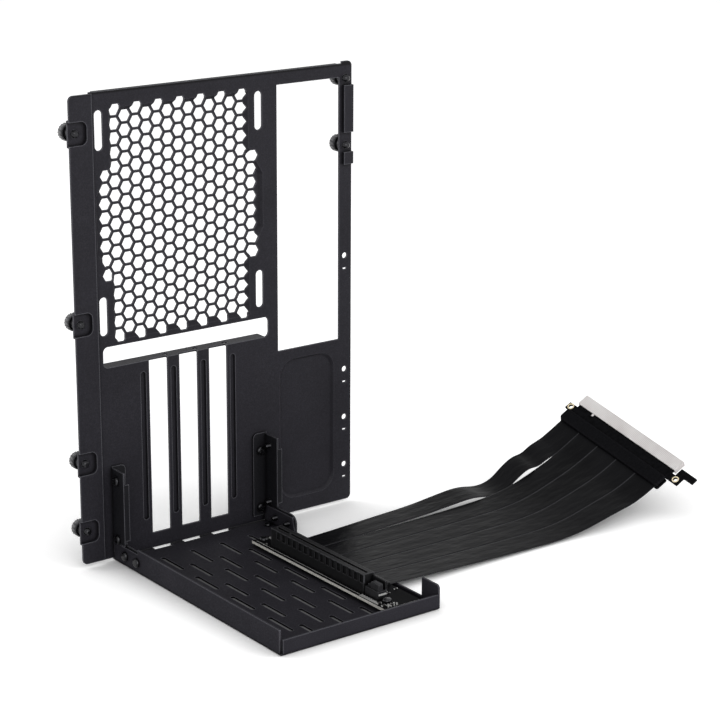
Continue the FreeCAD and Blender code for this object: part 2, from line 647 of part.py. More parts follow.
def tray():
    body = new_body("tray_body")
    thick = s.sheet
    left = s.tray_left
    right = s.tray_left + s.tray_width
    front = -s.tray_depth

    floor = new_sketch(body, "floor_outline", "XY_Plane")
    rectangle(floor, left, right, front, thick)
    extrude(body, "Pad", "floor", floor, thick)

    wall = new_sketch(body, "left_wall_outline", "YZ_Plane", left)
    polygon(wall, [(front + s.corner_relief, 0), (-thick, 0), (-thick, s.rear_height),
                   (-s.foot_length + s.foot_gap, s.rear_height), (-s.foot_length + s.foot_gap, s.side_height),
                   (front + s.corner_relief, s.side_height)])
    extrude(body, "Pad", "left_wall", wall, thick)
    wall = new_sketch(body, "right_wall_outline", "YZ_Plane", right - thick)
    polygon(wall, [(front, 0), (-thick, 0), (-thick, s.rear_height),
                   (-s.foot_length + s.wall_slope, s.rear_height),
                   (-s.foot_length, s.lip_height), (front + s.corner_length, s.lip_height),
                   (front + s.corner_length, s.side_height), (front + s.wall_bevel, s.side_height),
                   (front, s.side_height - s.wall_bevel)])
    extrude(body, "Pad", "right_wall", wall, thick)
    wall = new_sketch(body, "front_wall_outline", "XZ_Plane", s.tray_depth - thick)
    rectangle(wall, left + s.corner_relief, right, 0, s.front_height)
    extrude(body, "Pad", "front_wall", wall, thick)
    round_edges(body, "tray_bends", s.tray_bend,
                lambda p, length: abs(p.z) < 0.01 and length > 60
                and (abs(p.x - float(left)) < 0.01 or abs(p.x - float(right)) < 0.01
                     or abs(p.y - float(front)) < 0.01))

    vents = new_sketch(body, "vent_outline", "XY_Plane", thick)
    for shift in range(2):
        for column in range(4):
            x = s.vent_x + s.vent_shift_x * shift + s.vent_pitch_x * column
            obround(vents, x, s.vent_y + s.vent_shift_y * shift, s.vent_length, s.vent_width)
    row = extrude(body, "Pocket", "vent_row", vents, thick)
    rows = body.newObject("PartDesign::LinearPattern", "vent_rows")
    rows.Originals = [row]
    rows.Direction = (vents, ["V_Axis"])
    rows.Reversed = True
    rows.Mode = "Spacing"
    bind(rows, "Offset", s.vent_pitch_y)
    rows.Occurrences = 4
    body.Tip = rows
    doc.recompute()
    notches = new_sketch(body, "rear_notch_outline", "XY_Plane", thick)
    for k in range(3):
        x = s.card_left + s.card_pitch * k
        rectangle(notches, x, x + s.card_width, -s.rear_notch, thick)
    extrude(body, "Pocket", "rear_notches", notches, thick)
    holes = new_sketch(body, "side_hole_outline", "YZ_Plane", left - thick)
    for y in (s.foot_screw_first, s.foot_screw_second):
        disc(holes, y, s.foot_screw_z, s.screw_hole)
    extrude(body, "Pocket", "side_holes", holes, s.tray_width + thick * 2, reverse=True)
    keep(body, "tray")


# Brackets between the panel and the tray


def bracket(side):
    """Side -1 is the left bracket, 1 the right one; the stiffening fold points right on both.

    The left web is flush with the wall of the tray and its foot steps inside; the right one stands outside.
    """
    name = "left" if side < 0 else "right"
    body = new_body(name + "_bracket_body")
    thick = s.sheet
    outer = s.tray_left if side < 0 else s.tray_left + s.tray_width
    plies = thick * 2 if side < 0 else thick
    web = new_sketch(body, name + "_web_outline", "YZ_Plane", outer)
    if side < 0:
        seat = s.rear_height + s.seat_gap
        rectangle(web, -s.web_depth, 0, seat, s.web_top)
        joggle = new_sketch(body, "left_joggle_outline", "YZ_Plane", outer)
        rectangle(joggle, -s.web_depth, -s.foot_rear, seat, seat + s.joggle_height)
        foot = new_sketch(body, "left_foot_outline", "YZ_Plane", outer + thick)
        rectangle(foot, -s.foot_length, -s.foot_rear, s.foot_low, s.foot_height)
        extrude(body, "Pad", "left_web", web, thick)
        extrude(body, "Pad", "left_joggle", joggle, plies)
        extrude(body, "Pad", "left_foot", foot, thick)
    else:
        polygon(web, [(0, s.foot_low), (-s.foot_length, s.foot_low), (-s.foot_length, s.foot_height),
                      (-s.web_depth, s.foot_height), (-s.web_depth, s.web_top), (0, s.web_top)])
        extrude(body, "Pad", "right_web", web, thick)
    round_edges(body, name + "_toe", s.toe_corner,
                lambda p, length: p.y < -float(s.foot_length) + 0.1 and p.z > 10 and length < 1.1)

    leg = new_sketch(body, name + "_leg_outline", "XZ_Plane")
    near = outer if side < 0 else outer + thick
    far = outer - s.leg_width * side
    edges = (near, far) if side < 0 else (far, near)
    rectangle(leg, edges[0], edges[1], s.leg_low, s.leg_top)
    extrude(body, "Pad", name + "_leg", leg, thick)
    round_edges(body, name + "_leg_corner", s.sheet_corner,
                lambda p, length: abs(p.x - float(far)) < 0.01 and p.z > float(s.leg_top) - 0.1
                and abs(length - 1) < 0.01)

    fold = new_sketch(body, name + "_fold_outline", "XZ_Plane", s.web_depth - thick)
    rectangle(fold, outer, outer + s.fold_width, s.fold_low, s.fold_top)
    extrude(body, "Pad", name + "_fold", fold, thick)

    holes = new_sketch(body, name + "_web_hole_outline", "YZ_Plane", outer)
    for z in (s.web_screw_low, s.web_screw_high):
        disc(holes, s.web_screw_y, z, s.screw_hole)
    for y in (s.foot_screw_first, s.foot_screw_second):
        disc(holes, y, s.foot_screw_z, s.screw_hole)
    extrude(body, "Pocket", name + "_web_holes", holes, plies, reverse=True)
    holes = new_sketch(body, name + "_leg_hole_outline", "XZ_Plane", s.sheet)
    for z in (s.leg_screw_low, s.leg_screw_high):
        disc(holes, outer - s.leg_screw_inset * side, z, s.screw_hole)
    extrude(body, "Pocket", name + "_leg_holes", holes, thick)
    keep(body, name + "_bracket")


# Screws, as turned solids along their own axis


def stack(name, rings):
    """A turned solid along +Z from rings of (start, end, diameter)."""
    solids = []
    for number, (start, end, diameter) in enumerate(rings):
        cylinder = doc.addObject("Part::Cylinder", "%s_ring%d" % (name, number))
        bind(cylinder, "Radius", as_size(diameter) / 2)
        bind(cylinder, "Height", as_size(end) - start)
        bind(cylinder, "Placement.Base.z", start)
        solids.append(cylinder)
    fuse = doc.addObject("Part::MultiFuse", name + "_fuse")
    fuse.Shapes = solids
    fuse.Refine = True
    return fuse


def place(item, x, y, z, rotation):
    """Put a piece that was drawn about its own origin at its seat."""
    item.Placement = Placement(Vector(0, 0, 0), rotation)
    bind(item, "Placement.Base.x", s.datum_x + x)
    bind(item, "Placement.Base.y", s.datum_y + y)
    bind(item, "Placement.Base.z", as_size(z))
    return item


def thumb_screw(label, x, z, seat_front, seat_back):
    """Head behind the panel, point in front of its seat; drawn along its axis, then turned to -Y."""
    height = s.thumb_head_height
    collar = s.thumb_collar_height
    rings = [(0, height, s.thumb_head), (height, height + collar, s.thumb_collar),
             (height + collar, height + collar + (seat_back - seat_front) + s.thumb_point, s.thumb_shank)]
    screw = stack(label, rings)
    place(screw, x, seat_back + height + collar, z, Rotation(Vector(1, 0, 0), 90))
    keep(screw, label)


def pan_screw(name, grip):
    """Pan head from Z 0 down to its top, shank through the grip and past it."""
    head = s.screw_head_height
    rings = [(-head, 0, s.screw_head), (0, as_size(grip) + s.screw_point, s.screw_shank)]
    return stack(name, rings)


def group(label, screws):
    """Identical screws that share a node and stay separate solids."""
    compound = doc.addObject("Part::Compound", label + "_group")
    compound.Links = screws
    keep(compound, label)


def screws():
    seat_front = s.dimple_depth - s.flange_step
    for number, z in enumerate(THUMB_Z, start=1):
        thumb_screw("thumb_screw_left_%d" % number, -s.thumb_inset, z, seat_front, seat_front + s.sheet)
    for number, z in enumerate(COLUMN_SCREW_Z, start=1):
        thumb_screw("thumb_screw_right_%d" % number, s.column_screw_x, z, as_size(0), s.sheet)

    to_rear = Rotation(Vector(1, 0, 0), -90)
    for side, name in ((-1, "left"), (1, "right")):
        outer = s.tray_left if side < 0 else s.tray_left + s.tray_width
        inward = Rotation(Vector(0, 1, 0), 90 if side < 0 else -90)
        outside = outer if side < 0 else outer + s.sheet
        pair = []
        for spot, z in (("low", s.leg_screw_low), ("high", s.leg_screw_high)):
            screw = pan_screw("%s_leg_%s" % (name, spot), s.sheet * 2)
            pair.append(place(screw, outer - s.leg_screw_inset * side, -s.sheet, z, to_rear))
        group(name + "_leg_screws", pair)
        pair = []
        for spot, z in (("low", s.web_screw_low), ("high", s.web_screw_high)):
            screw = pan_screw("%s_web_%s" % (name, spot), s.sheet)
            pair.append(place(screw, outside, s.web_screw_y, z, inward))
        group(name + "_web_screws", pair)
        pair = []
        for spot, y in (("rear", s.foot_screw_first), ("toe", s.foot_screw_second)):
            screw = pan_screw("%s_foot_%s" % (name, spot), s.sheet * 2)
            pair.append(place(screw, outside, y, s.foot_screw_z, inward))
        group(name + "_foot_screws", pair)


# Riser board with its slot


def box(name, x0, x1, y0, y1, z0, z1):
    solid = doc.addObject("Part::Box", name)
    bind(solid, "Length", as_size(x1) - x0)
    bind(solid, "Width", as_size(y1) - y0)
    bind(solid, "Height", as_size(z1) - z0)
    bind(solid, "Placement.Base.x", x0)
    bind(solid, "Placement.Base.y", y0)
    bind(solid, "Placement.Base.z", z0)
    return solid


def cylinder_up(name, x, y, z0, z1, diameter):
    solid = doc.addObject("Part::Cylinder", name)
    bind(solid, "Radius", as_size(diameter) / 2)
    bind(solid, "Height", as_size(z1) - z0)
    bind(solid, "Placement.Base.x", x)
    bind(solid, "Placement.Base.y", y)
    bind(solid, "Placement.Base.z", z0)
    return solid


def cut(name, base, tools):
    tool = tools[0]
    if len(tools) > 1:
        tool = doc.addObject("Part::Compound", name + "_tools")
        tool.Links = tools
    result = doc.addObject("Part::Cut", name)
    result.Base = base
    result.Tool = tool
    return result


def fuse(name, parts):
    result = doc.addObject("Part::MultiFuse", name)
    result.Shapes = parts
    result.Refine = True
    return result


def riser():
    top = s.board_z + s.board_thick
    board_front = s.board_rear - s.board_length
    spots = [("rear", s.spacer_rear_x, s.spacer_rear_y), ("front", s.spacer_front_x, s.spacer_front_y)]

    board = box("board_blank", s.board_left, s.board_left + s.board_width, board_front, s.board_rear,
                s.board_z, top)
    holes = []
    for name, x, y in spots:
        holes.append(cylinder_up("board_hole_" + name, x, y, s.board_z - 1, top + 1, s.screw_hole))
    board = cut("board_cut", board, holes)
    set_datum(board)
    keep(board, "riser_board")

    spacers = []
    heads = []
    for name, x, y in spots:
        ring = cylinder_up("spacer_blank_" + name, x, y, s.sheet, s.board_z, s.spacer_radius * 2)
        bore = cylinder_up("spacer_bore_" + name, x, y, 0, s.board_z + 1, s.screw_hole)
        spacers.append(cut("spacer_" + name, ring, [bore]))
        head = cylinder_up("board_head_" + name, x, y, top, top + s.screw_head_height, s.screw_head)
        shank = cylinder_up("board_shank_" + name, x, y, s.sheet, top, s.screw_shank)
        heads.append(fuse("board_screw_" + name, [head, shank]))
    for label, items in (("board_spacers", spacers), ("board_screws", heads)):
        compound = doc.addObject("Part::Compound", label + "_group")
        compound.Links = items
        set_datum(compound)
        keep(compound, label)

    # Slot housing: a long block with the card gap, its key bridge and pockets along the sides
    left = s.slot_left
    right = s.slot_left + s.slot_width
    front = s.slot_rear - s.slot_length
    high = top + s.slot_height
    block = box("slot_block", left, right, front, s.slot_rear, top, high)
    middle = left + s.slot_width / 2
    key = s.slot_rear - s.key_from_rear
    gap_low = high - s.card_gap_depth
    tools = [
        box("card_gap_rear", middle - s.card_gap / 2, middle + s.card_gap / 2, key,
            s.slot_rear - s.card_gap_margin, gap_low, high + 1),
        box("card_gap_front", middle - s.card_gap / 2, middle + s.card_gap / 2,
            front + s.card_gap_margin, key - s.key_width, gap_low, high + 1),
    ]
    for k in range(int(s.rib_count.value)):
        y = s.slot_rear - s.rib_start - s.rib_pitch * k
        tools.append(box("rib_left_%02d" % k, left - 1, left + s.rib_depth, y - s.rib_length, y,
                         high - s.rib_height - s.rib_depth, high - s.rib_depth))
        tools.append(box("rib_right_%02d" % k, right - s.rib_depth, right + 1, y - s.rib_length, y,
                         high - s.rib_height - s.rib_depth, high - s.rib_depth))
    housing = cut("slot_cut", block, tools)
    set_datum(housing)
    keep(housing, "slot_housing")

    # Contact rows stand in the gap and stop below its mouth
    rows = []
    for name, side in (("left", -1), ("right", 1)):
        wall = middle + s.card_gap / 2 * side
        inner = wall - s.contact_thick * side
        x0, x1 = (wall, inner) if side < 0 else (inner, wall)
        rows.append(box("contacts_" + name, x0, x1, front + s.card_gap_margin + s.contact_margin,
                        key - s.key_width - s.contact_margin, gap_low, high - s.contact_drop))
    compound = doc.addObject("Part::Compound", "slot_contacts_group")
    compound.Links = rows
    set_datum(compound)
    keep(compound, "slot_contacts")

    # Retainer at the front end, with a raised thumb rest
    half = s.latch_width / 2
    body = box("retainer_body", middle - half, middle + half, front - s.latch_length, front,
               top, top + s.latch_height - s.latch_thumb)
    rest = box("retainer_rest", middle - half, middle + half, front - s.latch_length,
               front - s.latch_length / 2, top, top + s.latch_height)
    retainer = fuse("retainer_fuse", [body, rest])
    set_datum(retainer)
    keep(retainer, "slot_retainer")

    bar = box("cable_bar_box", s.bar_left, s.bar_left + s.bar_width, s.bar_rear - s.bar_length,
              s.bar_rear, top, top + s.bar_height)
    set_datum_box(bar, s.bar_left, s.bar_rear - s.bar_length)
    keep(bar, "cable_bar")


def set_datum_box(item, x, y):
    bind(item, "Placement.Base.x", s.datum_x + x)
    bind(item, "Placement.Base.y", s.datum_y + y)


# Plug at the far end of the cable, drawn flat and then turned to where it lies

PLUG_ALONG = Vector(0.0451, -0.9663, -0.2538).normalize()
PLUG_UP = PLUG_ALONG.cross(Vector(0.8407, -0.1006, 0.5323)).normalize()
PLUG_FORWARD = PLUG_UP.cross(PLUG_ALONG)


def plug_placement():
    turn = Rotation(PLUG_ALONG, PLUG_FORWARD, PLUG_UP, "ZXY")
    seat = Vector(float(s.datum_x + s.plug_x), float(s.datum_y + s.plug_y), float(s.plug_z))
    return Placement(seat, turn)


def lay_plug(item, label):
    item.Placement = plug_placement()
    bind(item, "Placement.Base.x", s.datum_x + s.plug_x)
    bind(item, "Placement.Base.y", s.datum_y + s.plug_y)
    bind(item, "Placement.Base.z", s.plug_z)
    keep(item, label)


def board_outline():
    """Edge of the plug board with its ears, contact edge, key notch and hook."""
    half = s.finger_half
    key = -half + s.key_left
    inner = -s.shell_back + s.filler_depth
    left = s.shell_left + s.shell_bevel
    right = s.shell_right - s.shell_bevel
    return [(left, inner), (right, inner), (right, s.ear_low),
            (s.ear_front, s.ear_low), (s.ear_front, s.hook_low), (s.hook_right, s.hook_low),
            (s.hook_right, s.hook_high), (s.hook_left, s.hook_high), (s.hook_left, s.shoulder),
            (half, s.shoulder), (half, s.finger_front), (key + s.key_notch, s.finger_front),
            (key + s.key_notch, s.key_low), (key, s.key_low), (key, s.finger_front),
            (-half, s.finger_front), (-half, s.shoulder), (s.ear_rear, s.shoulder),
            (s.ear_rear, s.ear_low), (left, s.ear_low)]


def plate(name, points, low, high):
    """A flat plate from an outline of sizes, drawn on XY."""
    sketch = doc.addObject("Sketcher::SketchObject", name + "_outline")
    polygon(sketch, points)
    bind(sketch, "Placement.Base.z", low)
    solid = doc.addObject("Part::Extrusion", name)
    solid.Base = sketch
    solid.DirMode = "Normal"
    solid.Solid = True
    bind(solid, "LengthFwd", as_size(high) - low)
    return solid


def plug():
    half_board = s.board_thick / 2
    blank = plate("plug_board_blank", board_outline(), -half_board, half_board)
    holes = []
    rings = []
    for name, x in (("rear", s.ear_rear_hole), ("front", s.ear_front_hole)):
        holes.append(cylinder_up("ear_hole_" + name, x, s.ear_hole_y, -2, 2, s.ear_hole))
        for face, low in (("top", half_board), ("under", -half_board - 0.1)):
            spot = name + "_" + face
            ring = cylinder_up("ear_disc_" + spot, x, s.ear_hole_y, low, low + 0.1, s.ear_ring)
            bore = cylinder_up("ear_bore_" + spot, x, s.ear_hole_y, -2, 2, s.ear_hole)
            rings.append(cut("ring_" + spot, ring, [bore]))
    lay_plug(cut("plug_board_cut", blank, holes), "plug_board")
    compound = doc.addObject("Part::Compound", "ear_rings_group")
    compound.Links = rings
    lay_plug(compound, "ear_rings")

    left = s.shell_left
    right = s.shell_right
    bevel = s.shell_bevel
    outline = [(left + bevel, -s.shell_back), (right, -s.shell_back), (right, 0), (left, 0),
               (left, -s.shell_back + bevel)]
    lay_plug(plate("shell_upper_plate", outline, half_board, half_board + s.shell_thick),
             "plug_shell_upper")
    lay_plug(plate("shell_lower_plate", outline, -half_board - s.shell_thick, -half_board),
             "plug_shell_lower")
    # The strips stop at a filler as thick as the board, between the two halves of the shell
    inner = -s.shell_back + s.filler_depth
    outline = [(left + bevel, -s.shell_back), (right - bevel, -s.shell_back), (right - bevel, inner),
               (left + bevel, inner)]
    lay_plug(plate("plug_filler_plate", outline, -half_board, half_board), "plug_filler")

    # Pale cap over the contacts, closed at both ends, with a rib that enters the key notch
    reach = s.finger_half + s.cap_gap
    high = s.finger_front
    outer = box("cap_outer", -reach - s.cap_wall, reach + s.cap_wall, s.cap_low, high + s.cap_wall,
                -half_board - s.cap_gap - s.cap_wall, half_board + s.cap_gap + s.cap_wall)
    inner = box("cap_inner", -reach, reach, s.cap_low - 1, high,
                -half_board - s.cap_gap, half_board + s.cap_gap)
    key = -s.finger_half + s.key_left
    rib = box("cap_rib", key + s.cap_gap, key + s.key_notch - s.cap_gap, s.key_low + s.cap_gap,
              high + s.cap_wall / 2, -half_board - s.cap_gap, half_board + s.cap_gap)
    hollow = cut("cap_hollow", outer, [inner])
    lay_plug(fuse("cap_fuse", [hollow, rib]), "contact_cap")


# Flat cable: five strips, each along straight runs joined by tangent arcs


def rounded_route(points, leans):
    """Points along straight runs and tangent arcs, each with its direction across the cable."""
    route = [(points[0], leans[0])]
    radii = []
    for i in range(1, len(points) - 1):
        before = points[i - 1] - points[i]
        after = points[i + 1] - points[i]
        turn = math.pi - before.getAngle(after)
        trim = 0.45 * min(before.Length, after.Length)
        radius = trim / math.tan(turn / 2)
        radii.append(radius)
        start = points[i] + Vector(before).normalize() * trim
        end = points[i] + Vector(after).normalize() * trim
        inward = ((start + end) * 0.5 - points[i]).normalize()
        centre = points[i] + inward * math.hypot(radius, trim)
        steps = 4
        for step in range(steps + 1):
            share = step / steps
            spoke = (start + (end - start) * share - centre).normalize()
            bias = 0.45 * (2 * share - 1)
            other = leans[i + 1] if bias > 0 else leans[i - 1]
            lean = (leans[i] + (other - leans[i]) * abs(bias)).normalize()
            route.append((centre + spoke * radius, lean))
    route.append((points[-1], leans[-1]))
    return route, radii


def cable_stations():
    """Middle points and directions across the cable, from the board to the back of the plug."""
    middles = []
    leans = []
    for point, lean in CABLE:
        middles.append(Vector(*point))
        leans.append(Vector(0, -math.sqrt(1 - lean * lean), -lean))
    seat = Vector(s.plug_x.value, s.plug_y.value, s.plug_z.value)
    end = seat - PLUG_FORWARD * s.shell_back.value + PLUG_ALONG * s.cable_shift.value
    middles += [end - PLUG_FORWARD * CABLE_LAST_RUN, end]
    leans += [PLUG_ALONG, PLUG_ALONG]
    return middles, leans


def strip(number):
    """One strip: a flat section carried from the board to the plug."""
    middles, leans = cable_stations()
    offset = (number - (STRIPS - 1) / 2) * s.strip_pitch.value
    points = [middle + lean * offset for middle, lean in zip(middles, leans)]
    route, radii = rounded_route(points, leans)
    length = 0.0
    wires = []
    half_width = s.strip_width.value / 2
    half_thick = s.strip_thick.value / 2
    for i, (point, lean) in enumerate(route):
        ahead = route[min(i + 1, len(route) - 1)][0] - route[max(i - 1, 0)][0]
        if i == 0:
            ahead = Vector(1, 0, 0)
        up = lean.cross(ahead).normalize()
        across = ahead.cross(up).normalize()
        if i == len(route) - 1:
            up = Vector(PLUG_UP)
            across = Vector(PLUG_ALONG)
        corners = []
        for a, b in ((-1, -1), (1, -1), (1, 1), (-1, 1), (-1, -1)):
            corners.append(point + across * (a * half_width) + up * (b * half_thick))
        wires.append(Part.makePolygon(corners))
        if i:
            length += (point - route[i - 1][0]).Length
    solid = Part.makeLoft(wires, True, True)
    item = doc.addObject("Part::Feature", "cable_strip_%d" % (number + 1))
    item.Shape = solid
    item.Placement = Placement(Vector(s.datum_x.value, s.datum_y.value, 0), Rotation())
    keep(item, "cable_strip_%d" % (number + 1))
    section = s.strip_width.value * s.strip_thick.value
    print("strip %d length %.1f, radii %s, volume %.1f against %.1f"
          % (number + 1, length, " ".join("%.0f" % r for r in radii), solid.Volume, section * length))


rear_panel()
tray()
bracket(-1)
bracket(1)
screws()
riser()
plug()
for strip_number in range(STRIPS):
    strip(strip_number)
doc.recompute()

for item in doc.Objects:
    if "Invalid" in item.State or "Error" in item.State:
        raise RuntimeError("%s: %s" % (item.Label, item.State))
for item in nodes:
    if item.Shape.isNull() or not item.Shape.isValid() or item.Shape.Volume <= 0:
        raise RuntimeError(item.Label + " has no valid solid")

os.makedirs("parts", exist_ok=True)
for item in nodes:
    item.Shape.exportStep("parts/%s.step" % item.Label)
    box_size = item.Shape.BoundBox
    print("%-22s solids %d  X %.1f %.1f  Y %.1f %.1f  Z %.1f %.1f"
          % (item.Label, len(item.Shape.Solids), box_size.XMin, box_size.XMax,
             box_size.YMin, box_size.YMax, box_size.ZMin, box_size.ZMax))
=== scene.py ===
import math

import bmesh
import bpy
from mathutils import Matrix, Vector


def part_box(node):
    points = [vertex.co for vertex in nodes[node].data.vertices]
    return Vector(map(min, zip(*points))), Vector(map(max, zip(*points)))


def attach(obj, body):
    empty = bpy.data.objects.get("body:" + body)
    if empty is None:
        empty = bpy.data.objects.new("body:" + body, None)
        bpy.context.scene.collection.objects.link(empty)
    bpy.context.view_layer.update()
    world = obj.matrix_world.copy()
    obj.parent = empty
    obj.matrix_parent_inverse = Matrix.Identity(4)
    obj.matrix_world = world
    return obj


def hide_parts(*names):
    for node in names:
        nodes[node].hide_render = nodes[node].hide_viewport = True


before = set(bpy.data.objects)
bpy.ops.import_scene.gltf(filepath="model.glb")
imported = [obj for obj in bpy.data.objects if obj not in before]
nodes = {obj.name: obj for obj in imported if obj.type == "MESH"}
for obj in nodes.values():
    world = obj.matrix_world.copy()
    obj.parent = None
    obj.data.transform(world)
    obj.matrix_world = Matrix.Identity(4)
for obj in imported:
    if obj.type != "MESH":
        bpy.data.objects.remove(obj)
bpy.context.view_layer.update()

MM = 0.001
# The part's source measures in millimetres from the panel's bend line. This is that corner in the row frame.
DATUM = Vector((-64.2, 84.0, 0.0))


def at(x, y, z):
    """A point of the source, in metres in the row frame."""
    return (Vector((x, y, z)) + DATUM) * MM


# Materials

# How far the painted crease shade looks for a crease, and the painted edge highlight into the solid for an
# edge, in metres
CREASE_REACH, EDGE_REACH, REACH_SAMPLES = 0.0028, 0.0006, 6


class Nodes:
    """A material under construction, with shorthand for its node tree."""

    def __init__(self, name):
        self.mat = bpy.data.materials.new(name)
        self.mat.use_nodes = True
        self.tree = self.mat.node_tree
        self.bsdf = self.tree.nodes["Principled BSDF"]
        self.coords = self.add("ShaderNodeTexCoord").outputs["Object"]

    def add(self, kind, **values):
        """A new node. Each value sets the property of that name, or else the input."""
        node = self.tree.nodes.new(kind)
        for key, value in values.items():
            if hasattr(node, key):
                setattr(node, key, value)
            else:
                node.inputs[key].default_value = value
        return node

    def link(self, a, b):
        self.tree.links.new(a, b)

    def fixed(self, socket, value):
        """A value that is the same all over the surface."""
        self.bsdf.inputs[socket].default_value = value

    def noise(self, scale, detail=3.0, rough=0.55, coords=None):
        node = self.add("ShaderNodeTexNoise", Scale=scale, Detail=detail, Roughness=rough)
        self.link(coords or self.coords, node.inputs["Vector"])
        return node.outputs["Fac"]

    def ramp(self, fac, stops):
        node = self.add("ShaderNodeValToRGB")
        elements = node.color_ramp.elements
        while len(elements) < len(stops):
            elements.new(0.5)
        for element, (place, colour) in zip(elements, stops):
            element.position = place
            element.color = (*colour, 1.0)
        self.link(fac, node.inputs["Fac"])
        return node.outputs["Color"]

    def span(self, fac, low, high, out_low, out_high):
        """A number carried from one range to another."""
        node = self.add("ShaderNodeMapRange")
        for key, value in zip(("From Min", "From Max", "To Min", "To Max"),
                              (low, high, out_low, out_high)):
            node.inputs[key].default_value = value
        self.link(fac, node.inputs["Value"])
        return node.outputs["Result"]

    def math(self, operation, a, b=0.0):
        node = self.add("ShaderNodeMath", operation=operation)
        for socket, value in zip(node.inputs, (a, b)):
            if isinstance(value, (int, float)):
                socket.default_value = value
            else:
                self.link(value, socket)
        return node.outputs["Value"]

    def weigh(self, a, share_a, b, share_b):
        return self.math("ADD", self.math("MULTIPLY", a, share_a), self.math("MULTIPLY", b, share_b))

    def vector(self, operation, a, b):
        """Vector maths with a constant vector."""
        node = self.add("ShaderNodeVectorMath", operation=operation)
        self.link(a, node.inputs[0])
        node.inputs[1].default_value = b
        return node.outputs

    def parts(self, vector):
        node = self.add("ShaderNodeSeparateXYZ")
        self.link(vector, node.inputs["Vector"])
        return node.outputs

    def scaled(self, colour, factor):
        node = self.add("ShaderNodeVectorMath", operation="SCALE")
        self.link(colour, node.inputs[0])
        self.link(factor, node.inputs["Scale"])
        return node.outputs["Vector"]

    def blend(self, factor, base, other):
        """A node's colour that gives way to a plain one as the factor goes to 1."""
        node = self.add("ShaderNodeMix", data_type="RGBA")
        self.link(factor, node.inputs["Factor"])
        self.link(base, node.inputs["A"])
        node.inputs["B"].default_value = (*other, 1.0)
        return node.outputs["Result"]

    def bump(self, height, strength, distance):
        """Add relief. A second call lays finer relief over the first."""
        node = self.add("ShaderNodeBump", Strength=strength, Distance=distance)
        self.link(height, node.inputs["Height"])
        normal = self.bsdf.inputs["Normal"]
        if normal.is_linked:
            self.link(normal.links[0].from_socket, node.inputs["Normal"])
        self.link(node.outputs["Normal"], normal)

    def painted_shade_and_highlight(self, coat, edge_highlight_colour, amount):
        """Painted shade and highlight: darken a coat in creases, where shade falls, and lighten it along
        edges, where light catches.
        """
        crease = self.add("ShaderNodeAmbientOcclusion", samples=REACH_SAMPLES,
                          Distance=CREASE_REACH).outputs["AO"]
        inner = self.add("ShaderNodeAmbientOcclusion", samples=REACH_SAMPLES, inside=True,
                         Distance=EDGE_REACH).outputs["AO"]
        # Painted highlight: along edges the coat blends towards the pale colour given
        edge_highlight = self.math("MULTIPLY", self.span(inner, 0.9, 0.45, 0.0, 1.0),
                         self.span(crease, 0.6, 0.9, 0.0, 1.0))
        coat = self.blend(self.math("MULTIPLY", edge_highlight, amount), coat, edge_highlight_colour)
        # Painted shade: in creases the coat darkens down to 0.15 of its colour
        self.colour(self.scaled(coat, self.span(crease, 0.45, 0.95, 0.15, 1.0)))

    def colour(self, output):
        self.link(output, self.bsdf.inputs["Base Color"])

    def roughness(self, output):
        self.link(output, self.bsdf.inputs["Roughness"])


def srgb(r, g, b):
    """Linear colour of an 8-bit display colour."""
    out = []
    for c in (r, g, b):
        c = c / 255
        out.append(c / 12.92 if c <= 0.04045 else ((c + 0.055) / 1.055) ** 2.4)
    return tuple(out)


def shade(colour, factor):
    return tuple(c * factor for c in colour)


def powder_coat(name, colour, rough, gloss=0.1, fold=None):
    """Textured black coating on sheet: fine grain, faint clouding, painted shade in creases and painted
    highlights along edges.

    Above the height given as fold, the bent edge is darkened as painted shade.
    """
    grain, clouding, relief = 1400.0, 28.0, 0.00006
    fold_blend, fold_shade = 0.0005, 0.2
    m = Nodes(name)
    m.fixed("Specular IOR Level", gloss)
    fine = m.noise(grain, 2.0, 0.6)
    mixed = m.weigh(fine, 0.7, m.noise(clouding, 3.0, 0.5), 0.3)
    coat = m.ramp(mixed, [(0.32, shade(colour, 0.72)), (0.52, colour), (0.70, shade(colour, 1.45))])
    # Painted shade: above the top fold's height the coat darkens to a fifth, standing in for the shade on
    # the bent edge
    if fold:
        coat = m.scaled(coat, m.span(m.parts(m.coords)["Z"], fold, fold + fold_blend, 1.0, fold_shade))
    # Painted shade darkens the creases, and a pale grey painted highlight lightens the edges
    m.painted_shade_and_highlight(coat, srgb(112, 112, 118), 0.75)
    m.roughness(m.span(mixed, 0.3, 0.7, rough + 0.08, rough - 0.08))
    m.bump(fine, 0.35, relief)
    return m.mat


def moulded(name, colour, rough, gloss=0.12, edge_highlight=0.4):
    """Moulded plastic with a fine grain, painted shade in creases and painted highlights along edges."""
    grain, relief = 900.0, 0.00002
    m = Nodes(name)
    m.fixed("Specular IOR Level", gloss)
    fine = m.noise(grain, 2.0, 0.5)
    tone = m.ramp(fine, [(0.35, shade(colour, 0.85)), (0.65, shade(colour, 1.2))])
    # Painted shade darkens the creases, and a grey painted highlight lightens the edges, as strongly as
    # asked
    m.painted_shade_and_highlight(tone, srgb(92, 92, 96), edge_highlight)
    m.roughness(m.span(fine, 0.3, 0.7, rough - 0.05, rough + 0.08))
    m.bump(fine, 0.2, relief)
    return m.mat


def metal(name, colour, rough, metallic=1.0, lacquer=0.0):
    """Plated or blackened metal, with a clear coat where it has lacquer."""
    grain, relief = 700.0, 0.00001
    m = Nodes(name)
    m.fixed("Coat Weight", lacquer)
    m.fixed("Coat Roughness", 0.12)
    m.fixed("Metallic", metallic)
    fine = m.noise(grain, 2.0, 0.5)
    m.colour(m.ramp(fine, [(0.3, shade(colour, 0.9)), (0.7, colour)]))
    m.roughness(m.span(fine, 0.3, 0.7, rough - 0.06, rough + 0.08))
    m.bump(fine, 0.1, relief)
    return m.mat


